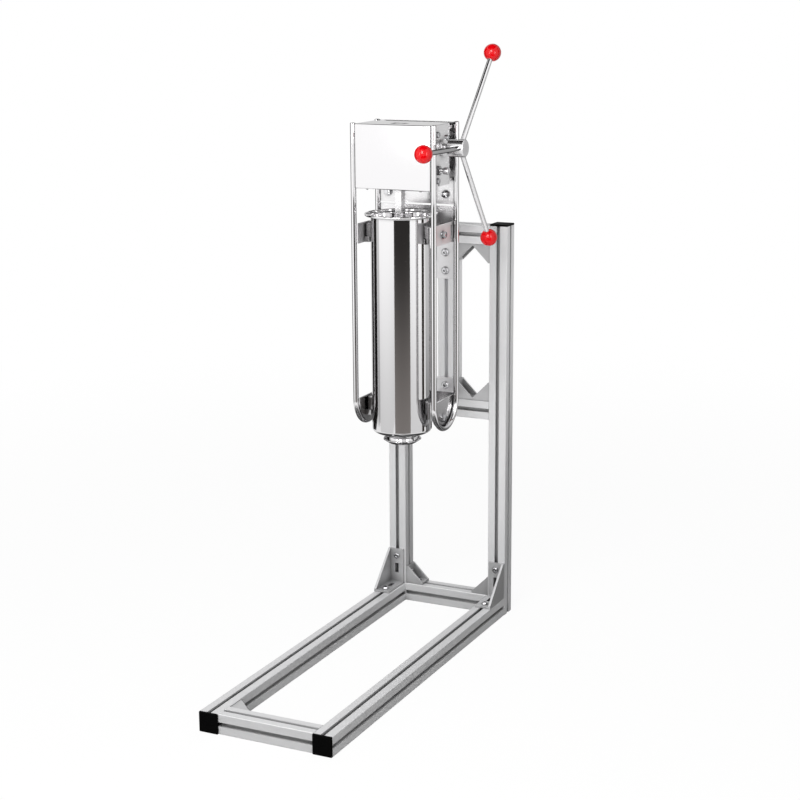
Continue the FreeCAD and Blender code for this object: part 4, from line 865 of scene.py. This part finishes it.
class CHURRO_OT_hex_bolts(bpy.types.Operator):
    """Model the hexagon bolts of the holder plates, the back plate and the head"""
    bl_idname = "churro.hex_bolts"
    bl_label = "Hexagon bolts"

    def execute(self, context):
        self.holder_bolts()
        self.head_screws()
        return {"FINISHED"}

    def holder_bolts(self):
        """Bolts with a washer under the head and a nut near the tip."""
        washer = 1.6 * MM
        washer_edge = 0.8 * washer
        nut = 4.4 * MM
        past_nut = 2.0 * MM
        thread_depth = 0.45 * MM
        mesh = bmesh.new()
        for bolt in screws_of("holder_bolts"):
            disc = [(0, 0), (bolt.radius, 0), (bolt.radius, washer_edge)]
            disc += [(bolt.radius * 0.97, washer), (0, washer)]
            lathe(mesh, disc, facing(bolt.seat, bolt.axis))
            hex_head(mesh, facing(bolt.seat + bolt.axis * washer, bolt.axis), M8_HEX, bolt.head - washer)
            add_shank(mesh, bolt, M8_RADIUS, thread_depth)
            nut_foot = bolt.seat - bolt.axis * (bolt.length - bolt.head - past_nut)
            hex_head(mesh, facing(nut_foot, bolt.axis), M8_HEX, nut)
        piece_from("holder_bolts_turned", mesh, STAND, "zinc", ("holder_bolts",))

    def head_screws(self):
        """Hexagon screws in the head's sides and small socket screws under its lip."""
        lip_socket = 2.0 * MM
        lip_socket_depth = 1.2 * MM
        thread_depth = 0.3 * MM
        mesh = bmesh.new()
        for screw in screws_of("head_screws"):
            place = facing(screw.seat, screw.axis)
            under_lip = abs(screw.axis.z) > 0.5
            if under_lip:
                socket_head(mesh, place, screw.radius, screw.length, lip_socket, lip_socket_depth)
            else:
                hex_head(mesh, place, M6_HEX, screw.head)
                add_shank(mesh, screw, M6_RADIUS, thread_depth)
        piece_from("head_screws_turned", mesh, STAND, "zinc", ("head_screws",))


def flare(start, end):
    """Points between two places of an outline that leaves the first upright and bends outwards."""
    steps = 7
    # The higher this power, the longer the sheet stays upright.
    bend = 2.5
    points = []
    for i in range(1, steps):
        share = i / steps
        outwards = (end[0] - start[0]) * share ** bend
        upwards = (end[1] - start[1]) * share
        points.append((start[0] + outwards, start[1] + upwards))
    return points


def threaded_neck(mesh, axis, radius, bore, foot, top):
    """Outlet neck with a coarse thread that fades at the foot and below a plain collar."""
    segments = 96
    rows_per_turn = 10
    pitch = 3.0 * MM
    depth = 0.9 * MM
    collar = 6.0 * MM
    rows = int((top - foot) / pitch * rows_per_turn)
    rings = []
    for row in range(rows + 1):
        height = foot + (top - foot) * row / rows
        fade = min(1.0, (height - foot) / pitch, max(0.0, (top - collar - height) / pitch))

        def flank(share):
            return radius - depth * groove(height, pitch, share) * fade, height

        rings.append(ring(mesh, axis, segments, flank))
    rings.append(ring(mesh, axis, segments, lambda share: (bore, top)))
    rings.append(ring(mesh, axis, segments, lambda share: (bore, foot)))
    skin(mesh, rings, closed=True)


def barrel_radii():
    """Inside and outside radius of the barrel's long wall."""
    seal_gap = 0.3 * MM
    bore = extent("piston_seal").x / 2 + seal_gap
    return bore, bore + sizes().barrel_wall


def barrel_section(outlet):
    """Closed section: from the outlet round the bottom, up the wall, over the bead and down the bore."""
    low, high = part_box("barrel")
    bore, outer = barrel_radii()
    wall = sizes().barrel_wall
    bead = sizes().rim_bead
    rim = extent("barrel").x / 2
    corner = 9.0 * MM
    flare_height = 3.0 * MM
    corner_centre = (outer - corner, low.z + corner)
    wall_top = high.z - 2 * bead - flare_height
    curl = arc((rim - bead, high.z - bead), bead, -120, 200, 16)
    section = [(outlet, low.z)] + arc(corner_centre, corner, -90, 0, 10)
    section += [(outer, wall_top)] + flare((outer, wall_top), curl[0])
    section += curl
    section += flare((bore, wall_top + wall), curl[-1])[::-1] + [(bore, wall_top + wall)]
    return section + arc(corner_centre, corner - wall, 0, -90, 10) + [(outlet, low.z + wall)]


class CHURRO_OT_barrel(bpy.types.Operator):
    """Model the spun barrel with its rolled rim and its threaded outlet neck"""
    bl_idname = "churro.barrel"
    bl_label = "Barrel"

    def execute(self, context):
        centre = middle("barrel") * ON_FLOOR
        axis = Matrix.Translation(centre)
        neck_wall = 5.0 * MM
        neck = extent("outlet_neck").x / 2
        outlet = neck - neck_wall
        mesh = bmesh.new()
        lathe(mesh, barrel_section(outlet), axis, 128, closed=True)
        piece_from("spun_barrel", mesh, STAND, "barrel", ("barrel",))
        low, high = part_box("outlet_neck")
        mesh = bmesh.new()
        threaded_neck(mesh, axis, neck, outlet, low.z, high.z)
        piece_from("threaded_neck", mesh, STAND, "barrel", ("outlet_neck",))
        mesh = bmesh.new()
        self.weld_neck(mesh, centre, neck, high.z)
        self.weld_ears(mesh)
        piece_from("barrel_welds", mesh, STAND, "satin")
        return {"FINISHED"}

    def weld_neck(self, mesh, centre, neck, top):
        """Weld round the top of the neck, under the barrel."""
        width = sizes().weld_width
        sunk = width * 0.1
        turn = arc((centre.x, centre.y), neck + sunk, 0, 360, 72)
        weld_bead(mesh, [Vector((x, y, top - sunk)) for x, y in turn], width * 0.7)

    def weld_ears(self, mesh):
        """Weld up both sides of each ear."""
        width = sizes().weld_width
        end = 1 * MM
        outer = barrel_radii()[1]
        for spots in islands("barrel_ears"):
            low, high = Vector(spots.min(0)), Vector(spots.max(0))
            x = math.copysign(outer + width * 0.05, low.x + high.x)
            for y in (low.y, high.y):
                upright_weld(mesh, x, y, low.z + end, high.z - end, width * 0.6)


class CHURRO_OT_nozzle(bpy.types.Operator):
    """Model the spun screw ring and finish the die"""
    bl_idname = "churro.nozzle"
    bl_label = "Nozzle"

    def execute(self, context):
        low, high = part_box("nozzle_ring")
        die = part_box("nozzle_die")[0].z
        sheet = 2.5 * MM
        chamfer = 0.4 * MM
        mouth = 19.0 * MM
        foot_flat = 28.0 * MM
        foot_bend = 3.0 * MM
        bead = sheet / 2
        lip = extent("nozzle_ring").x / 2
        lip_top = low.z + 9.0 * MM
        thread_play = 0.08 * MM
        inner = extent("outlet_neck").x / 2 + thread_play
        collar = inner + sheet
        die_edge = 0.2 * MM
        # From the mouth along the foot, up the dish to its lip and back in a soft corner to the collar.
        outline = [(mouth, low.z + chamfer), (mouth + chamfer, low.z), (foot_flat, low.z)]
        outline += arc((foot_flat, low.z + foot_bend), foot_bend, -90, -50, 4)[1:]
        outline += arc((lip - bead, lip_top - bead), bead, -40, 150, 10)
        outline += [(collar + 2.0 * MM, die + 2.2 * MM), (collar + 0.6 * MM, die + 2.8 * MM)]
        outline += [(collar, die + 3.6 * MM), (collar, high.z - chamfer), (collar - chamfer, high.z)]
        outline += [(inner + chamfer, high.z), (inner, high.z - chamfer), (inner, die), (mouth, die)]
        mesh = bmesh.new()
        lathe(mesh, outline, Matrix.Translation(middle("nozzle_ring") * ON_FLOOR), 128, closed=True)
        piece_from(
            "spun_ring", mesh, "ring", "barrel", ("nozzle_ring",), smooth_angle=50)
        paint(["nozzle_die"], "nylon")
        soften(["nozzle_die"], die_edge)
        return {"FINISHED"}


def cut_box(piece, centre, size):
    """Cuts a box out of a piece and applies the cut."""
    cutter_mesh = bmesh.new()
    bmesh.ops.create_cube(cutter_mesh, size=1.0)
    place = Matrix.Translation(centre) @ Matrix.Diagonal((*size, 1))
    bmesh.ops.transform(cutter_mesh, matrix=place, verts=cutter_mesh.verts)
    cutter = add_mesh("cutter", cutter_mesh)
    cut = piece.modifiers.new("cut", "BOOLEAN")
    cut.operation = "DIFFERENCE"
    cut.object = cutter
    cut.solver = "EXACT"
    depsgraph = bpy.context.evaluated_depsgraph_get()
    result = bpy.data.meshes.new_from_object(piece.evaluated_get(depsgraph))
    piece.modifiers.clear()
    piece.data = result
    bpy.data.objects.remove(cutter)


class CHURRO_OT_head(bpy.types.Operator):
    """Model the folded cover of the head and finish what is inside"""
    bl_idname = "churro.head"
    bl_label = "Head"

    def execute(self, context):
        low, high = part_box("head_front_cover")
        sheet = 1.5 * MM
        lip = 12.0 * MM
        fold = sizes().fold_radius
        layers = []
        for inset in (0, sheet):
            layer = [(low.y + lip, low.z + inset), (low.y + fold, low.z + inset)]
            layer += arc((low.y + fold, low.z + fold), fold - inset, 270, 180, 6)[1:]
            layer += arc((low.y + fold, high.z - fold), fold - inset, 180, 90, 6)
            layers.append(layer + [(high.y, high.z - inset)])
        outside, inside = layers
        mesh = bmesh.new()
        ends = []
        for x in (low.x, high.x):
            loop = [mesh.verts.new((x, y, z)) for y, z in outside + inside[::-1]]
            for i in range(len(outside) - 1):
                mesh.faces.new((loop[i], loop[i + 1], loop[-2 - i], loop[-1 - i]))
            ends.append(loop)
        bridge(mesh, *ends)
        cover = piece_from(
            "folded_cover", mesh, STAND, "cover", ("head_front_cover",),
            smooth_angle=60)
        gap = 1.5 * MM
        window_width = 32.0 * MM
        window = (window_width, extent("rack").y + 2 * gap, 8 * sheet)
        cut_box(cover, Vector((0, middle("rack").y, high.z)), window)
        guides = ["upper_rack_guide", "lower_rack_guide"]
        soften(guides, sizes().sheet_edge)
        paint(guides + ["head_tie_bar"], "steel")
        return {"FINISHED"}


class CHURRO_OT_drive(bpy.types.Operator):
    """Finish the rack, the pinion, the piston, the shaft and the rack lock"""
    bl_idname = "churro.drive"
    bl_label = "Rack and piston"

    def execute(self, context):
        milled = ["rack_foot", "drive_pinion", "shaft_collar"]
        milled_edge = 0.25 * MM
        flange_edge = 0.5 * MM
        paint(["rack"], "sheet")
        paint(milled, "steel")
        soften(["rack"] + milled, milled_edge)
        paint(["pinion_shaft"], "rod")
        paint(["piston_lower_disc", "piston_upper_disc"], "barrel")
        paint(["piston_seal"], "seal")
        paint(["shaft_bushes"], "satin")
        soften(["shaft_bushes"], flange_edge)
        paint(["lock_nut"], "zinc")
        self.lock_screw()
        return {"FINISHED"}

    def lock_screw(self):
        """Threaded rack lock with its round knob."""
        low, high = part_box("lock_screw")
        centre = middle("lock_screw")
        centre.x = 0
        screw = 5.0 * MM
        thread_depth = 0.6 * MM
        radius = (high.y - low.y) / 2
        length = 11.0 * MM
        edge = 0.8 * MM
        knob_start = high.x - length
        mesh = bmesh.new()
        tip = facing(centre + X * low.x, X)
        thread(mesh, tip, screw, thread_depth, sizes().thread_pitch, knob_start - low.x)
        knob = [(0, 0), (radius - edge, 0), (radius, edge)]
        knob += [(radius, length - edge), (radius - edge, length), (0, length)]
        lathe(mesh, knob, facing(centre + X * knob_start, X), 48)
        piece_from("lock_screw_turned", mesh, "rack_lock", "rod", ("lock_screw",))


class CHURRO_OT_lever(bpy.types.Operator):
    """Model the spokes and the ball knobs and finish the hub"""
    bl_idname = "churro.lever"
    bl_label = "Lever"

    def execute(self, context):
        hub_edge = 0.3 * MM
        ball = 17.5 * MM
        flat = 7.0 * MM
        spoke = 5.0 * MM
        # Each spoke starts inside the hub, this far along and out from the shaft, and ends in its ball.
        root_x = 122.0 * MM
        root_radius = 9.5 * MM
        seated = 2 * MM
        paint(["lever_hub"], "hub")
        soften(["lever_hub"], hub_edge)
        seat_angle = math.degrees(math.acos(flat / ball))
        hub = middle("lever_hub")
        spokes = bmesh.new()
        for number in (1, 2, 3):
            node = "lever_knob_" + str(number)
            centre = middle(node)
            radial = Vector((0, centre.y - hub.y, centre.z - hub.z)).normalized()
            root = Vector((root_x, hub.y, hub.z)) + radial * root_radius
            along = (centre - root).normalized()
            length = (centre - root).length - ball + seated
            tube(spokes, [root, root + along * length], [spoke, spoke], 32)
            outline = [(0, -math.sqrt(ball ** 2 - flat ** 2))]
            outline += arc((0, 0), ball, -seat_angle, 90, 40)
            knob = bmesh.new()
            lathe(knob, outline, facing(centre, along))
            piece_from("ball_knob_" + str(number), knob, "lever", "knob", (node,))
        piece_from("lever_rods", spokes, "lever", "rod", ("lever_spokes",))
        return {"FINISHED"}


# ---------------------------------------------------------------- studio
CAMERA_PLACE = Vector((1.52986, -3.39544, 1.3559))
CAMERA_YAW = 0.4513
CAMERA_PITCH = 0.2328
CAMERA_ROLL = -0.0064
CAMERA_FOCAL_PIXELS = 1754.28
FRAME_PIXELS = 800
SENSOR_WIDTH = 36.0


def add_camera():
    """Camera at the viewing angle of a catalogue picture."""
    data = bpy.data.cameras.new("camera")
    data.sensor_width = SENSOR_WIDTH
    data.lens = CAMERA_FOCAL_PIXELS / FRAME_PIXELS * SENSOR_WIDTH
    data.clip_end = 200
    camera = add_object("camera", data)
    forward = Vector((
        -math.sin(CAMERA_YAW) * math.cos(CAMERA_PITCH),
        math.cos(CAMERA_YAW) * math.cos(CAMERA_PITCH),
        -math.sin(CAMERA_PITCH)))
    right = Vector((math.cos(CAMERA_YAW), math.sin(CAMERA_YAW), 0))
    up = right.cross(forward)
    rolled_right = right * math.cos(CAMERA_ROLL) + up * math.sin(CAMERA_ROLL)
    rolled_up = up * math.cos(CAMERA_ROLL) - right * math.sin(CAMERA_ROLL)
    turn = Matrix((rolled_right, rolled_up, -forward)).transposed()
    camera.matrix_world = Matrix.Translation(CAMERA_PLACE) @ turn.to_4x4()
    bpy.context.scene.camera = camera


def add_softbox(name, place, aim, size, power):
    """Large square area lamp aimed at a point."""
    data = bpy.data.lights.new(name, "AREA")
    data.shape = "SQUARE"
    data.size = size
    data.energy = power
    lamp = add_object(name, data)
    lamp.matrix_world = facing(place, place - aim)
    return lamp


def add_flat(name, corners, material_name):
    """Flat stage piece; gives back the piece and its material's emptied tree."""
    mesh = bmesh.new()
    mesh.faces.new([mesh.verts.new(corner) for corner in corners])
    flat = add_mesh(name, mesh)
    material = bpy.data.materials.new(material_name)
    material.use_nodes = True
    material.node_tree.nodes.clear()
    flat.data.materials.append(material)
    return flat, material.node_tree


def rays_of(tree, rays, *kinds):
    """Output that is 1 for rays of those kinds and 0 for all others."""
    found = rays.outputs[kinds[0]]
    for kind in kinds[1:]:
        either = add_node(
            tree, "ShaderNodeMath", links={0: found, 1: rays.outputs[kind]}, operation="MAXIMUM")
        found = either.outputs[0]
    return found


# Upright cards round the barrel, seen only in reflections: name, turn from the camera's heading in
# degrees (positive to the camera's right), distance, width, foot, top and end of the colour ramp in
# metres, colour at the floor and above the ramp, brightness.
CARDS = (
    ("dark_room", 3, 1.2, 1.38, 0.0, 0.78, 0.56, "#847F7C", "#312F2E", 1.0),
    ("left_softbox", -59, 1.3, 1.69, 0.0, 2.4, 0.6, "#CCCCCC", "#FFFFFF", 1.2),
    ("left_grey", -96, 1.6, 0.5, 0.0, 2.4, 0.6, "#B0B0B0", "#DCDCDC", 1.0),
    ("left_flag", -128, 1.6, 1.3, 0.0, 2.4, 1.2, "#1A1918", "#1A1918", 1.0),
    ("left_glint", -41, 1.2, 0.22, 0.95, 1.5, 1.2, "#FFFFFF", "#FFFFFF", 8.0),
    ("right_glint", 38, 1.2, 0.22, 0.95, 1.5, 1.2, "#FFFFFF", "#FFFFFF", 8.0),
    ("right_softbox", 58, 1.3, 1.2, 0.0, 2.4, 0.6, "#CFCFCF", "#FFFFFF", 1.2),
    ("right_line", 89, 1.4, 0.3, 0.0, 2.4, 1.2, "#3A3634", "#3A3634", 1.0),
    ("right_rear", 124, 0.8, 0.66, 0.0, 2.0, 0.7, "#202020", "#DCDCDC", 1.0),
    ("right_edge", 160, 1.5, 0.9, 0.0, 2.4, 1.2, "#1A1918", "#1A1918", 1.0),
    ("rear_grey", 180, 1.4, 0.6, 0.0, 2.6, 1.2, "#F0F0F0", "#DCDCDC", 1.0),
)
CEILING_HEIGHT = 2.5
CEILING_WIDTH = 1.8
CEILING_COLOUR = "#2A2928"


def square(centre, width):
    """Corners of a level square."""
    half = width / 2
    sides = ((-half, -half), (half, -half), (half, half), (-half, half))
    return [centre + Vector((x, y, 0)) for x, y in sides]


def add_card(name, corners, ramp, low_colour, high_colour, strength):
    """Studio card seen only in reflections, its colour changing from the floor up to the ramp's height."""
    card, tree = add_flat(name, corners, name + "_card")
    place = add_node(tree, "ShaderNodeTexCoord")
    parts = add_node(tree, "ShaderNodeSeparateXYZ", links={"Vector": place.outputs["Object"]})
    rise = add_node(
        tree, "ShaderNodeMapRange", {"From Max": ramp}, {"Value": parts.outputs["Z"]},
        interpolation_type="SMOOTHSTEP")
    shade = add_node(
        tree, "ShaderNodeMix", {"A": opaque(linear(low_colour)), "B": opaque(linear(high_colour))},
        {"Factor": rise.outputs[0]}, data_type="RGBA")
    glow = add_node(
        tree, "ShaderNodeEmission", {"Strength": strength}, {"Color": shade.outputs["Result"]})
    add_node(tree, "ShaderNodeOutputMaterial", links={"Surface": glow.outputs[0]})
    card.visible_camera = False
    card.visible_diffuse = False
    card.visible_shadow = False
    card.visible_transmission = False


def add_cards(ground, ahead):
    """The upright cards round a point on the floor and the dark ceiling over it."""
    for name, turn, distance, width, foot, top, ramp, low_colour, high_colour, strength in CARDS:
        heading = Matrix.Rotation(math.radians(turn), 3, "Z") @ ahead
        across = Z.cross(heading) * width / 2
        spot = ground + heading * distance
        edge = [spot - across, spot + across]
        corners = [corner + Z * foot for corner in edge] + [corner + Z * top for corner in reversed(edge)]
        add_card(name, corners, ramp, low_colour, high_colour, strength)
    corners = square(ground + Z * CEILING_HEIGHT, CEILING_WIDTH)
    add_card("ceiling", corners, CEILING_HEIGHT, CEILING_COLOUR, CEILING_COLOUR, 1.0)


def add_floor():
    """Pale floor that keeps the shadow and reads white to the camera and in reflections."""
    width = 120.0
    below_feet = 0.3 * MM
    tree = add_flat("floor", square(Z * -below_feet, width), "white_floor")[1]
    matte = add_node(tree, "ShaderNodeBsdfDiffuse", {"Color": opaque(linear("#F4F4F3"))})
    rays = add_node(tree, "ShaderNodeLightPath")
    # Reflections taken close over the floor find it dark, those from a metre up find it white.
    bright = add_node(
        tree, "ShaderNodeMapRange", {"From Min": 0.7, "From Max": 1.0},
        {"Value": rays.outputs["Ray Length"]})
    glow = add_node(
        tree, "ShaderNodeEmission", {"Color": (1, 1, 1, 1)}, {"Strength": bright.outputs[0]})
    seen = rays_of(tree, rays, "Is Camera Ray", "Is Glossy Ray")
    place = add_node(tree, "ShaderNodeTexCoord")
    away = add_node(tree, "ShaderNodeVectorMath", links={0: place.outputs["Object"]}, operation="LENGTH")
    # Close to the part some of the matte shows its shadow; far off the floor meets the background.
    glowing = add_node(
        tree, "ShaderNodeMapRange", {"From Min": 0.8, "From Max": 3.0, "To Min": 0.93, "To Max": 1.0},
        {"Value": away.outputs["Value"]}, interpolation_type="SMOOTHSTEP")
    share = add_node(
        tree, "ShaderNodeMath", links={0: seen, 1: glowing.outputs[0]}, operation="MULTIPLY")
    mix = add_node(
        tree, "ShaderNodeMixShader", links={0: share.outputs[0], 1: matte.outputs[0], 2: glow.outputs[0]})
    add_node(tree, "ShaderNodeOutputMaterial", links={"Surface": mix.outputs[0]})


def set_world():
    """White to the camera and in reflections, a plain even level for the rest."""
    world = bpy.data.worlds.new("studio")
    bpy.context.scene.world = world
    world.use_nodes = True
    tree = world.node_tree
    tree.nodes.clear()
    rays = add_node(tree, "ShaderNodeLightPath")
    seen = rays_of(tree, rays, "Is Camera Ray", "Is Glossy Ray", "Is Transmission Ray")
    level = add_node(tree, "ShaderNodeMapRange", {"To Min": 0.55, "To Max": 1.0}, {"Value": seen})
    back = add_node(
        tree, "ShaderNodeBackground", {"Color": (1, 1, 1, 1)}, {"Strength": level.outputs[0]})
    add_node(tree, "ShaderNodeOutputWorld", links={"Surface": back.outputs[0]})


class CHURRO_OT_studio(bpy.types.Operator):
    """Set the pale floor, the soft lamps, the reflected cards and the camera"""
    bl_idname = "churro.studio"
    bl_label = "Studio"

    def execute(self, context):
        aim = middle("barrel")
        ahead = ((CAMERA_PLACE - aim) * ON_FLOOR).normalized()
        aside = Z.cross(ahead)
        add_cards(aim * ON_FLOOR, ahead)
        set_world()
        add_floor()
        add_camera()
        # Metres from the barrel's middle towards the camera, across its view and up.
        key_place = aim + ahead * 2.1 - aside * 0.76 + Z * 1.5
        fill_place = aim + ahead * 4.2 - aside * 0.4 + Z * 0.6
        add_softbox("key", key_place, aim, 1.2, 45)
        fill = add_softbox("fill", fill_place, aim, 1.6, 56)
        fill.visible_glossy = False
        bpy.context.scene.view_settings.view_transform = "Standard"
        return {"FINISHED"}


# ---------------------------------------------------------------- add-on
class CHURRO_PT_panel(bpy.types.Panel):
    """Sidebar panel with the press's sizes, colours and steps"""
    bl_label = "Churro Press"
    bl_idname = "CHURRO_PT_panel"
    bl_space_type = "VIEW_3D"
    bl_region_type = "UI"
    bl_category = "Churro Press"

    def draw(self, context):
        for group in (context.scene.churro_press_sizes, context.scene.churro_press_colours):
            column = self.layout.column(align=True)
            for name in group.bl_rna.properties.keys():
                if name not in ("rna_type", "name"):
                    column.prop(group, name)
        column = self.layout.column(align=True)
        for operator in OPERATORS:
            column.operator(operator.bl_idname)


OPERATORS = (
    CHURRO_OT_profiles,
    CHURRO_OT_caps,
    CHURRO_OT_brackets,
    CHURRO_OT_screws,
    CHURRO_OT_mounts,
    CHURRO_OT_rods,
    CHURRO_OT_plates,
    CHURRO_OT_hex_bolts,
    CHURRO_OT_barrel,
    CHURRO_OT_nozzle,
    CHURRO_OT_head,
    CHURRO_OT_drive,
    CHURRO_OT_lever,
    CHURRO_OT_studio,
)
CLASSES = (ChurroPressSizes, ChurroPressColours, *OPERATORS, CHURRO_PT_panel)


def register():
    """Registers the classes and hangs the properties on the scene."""
    for cls in CLASSES:
        bpy.utils.register_class(cls)
    bpy.types.Scene.churro_press_sizes = bpy.props.PointerProperty(type=ChurroPressSizes)
    bpy.types.Scene.churro_press_colours = bpy.props.PointerProperty(type=ChurroPressColours)


def unregister():
    """Takes the properties and the classes away again."""
    del bpy.types.Scene.churro_press_colours
    del bpy.types.Scene.churro_press_sizes
    for cls in reversed(CLASSES):
        bpy.utils.unregister_class(cls)


def main():
    """Registers the add-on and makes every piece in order."""
    register()
    bpy.ops.churro.profiles()
    bpy.ops.churro.caps()
    bpy.ops.churro.brackets()
    bpy.ops.churro.screws()
    bpy.ops.churro.mounts()
    bpy.ops.churro.rods()
    bpy.ops.churro.plates()
    bpy.ops.churro.hex_bolts()
    bpy.ops.churro.barrel()
    bpy.ops.churro.nozzle()
    bpy.ops.churro.head()
    bpy.ops.churro.drive()
    bpy.ops.churro.lever()
    bpy.ops.churro.studio()


if __name__ == "__main__":
    main()
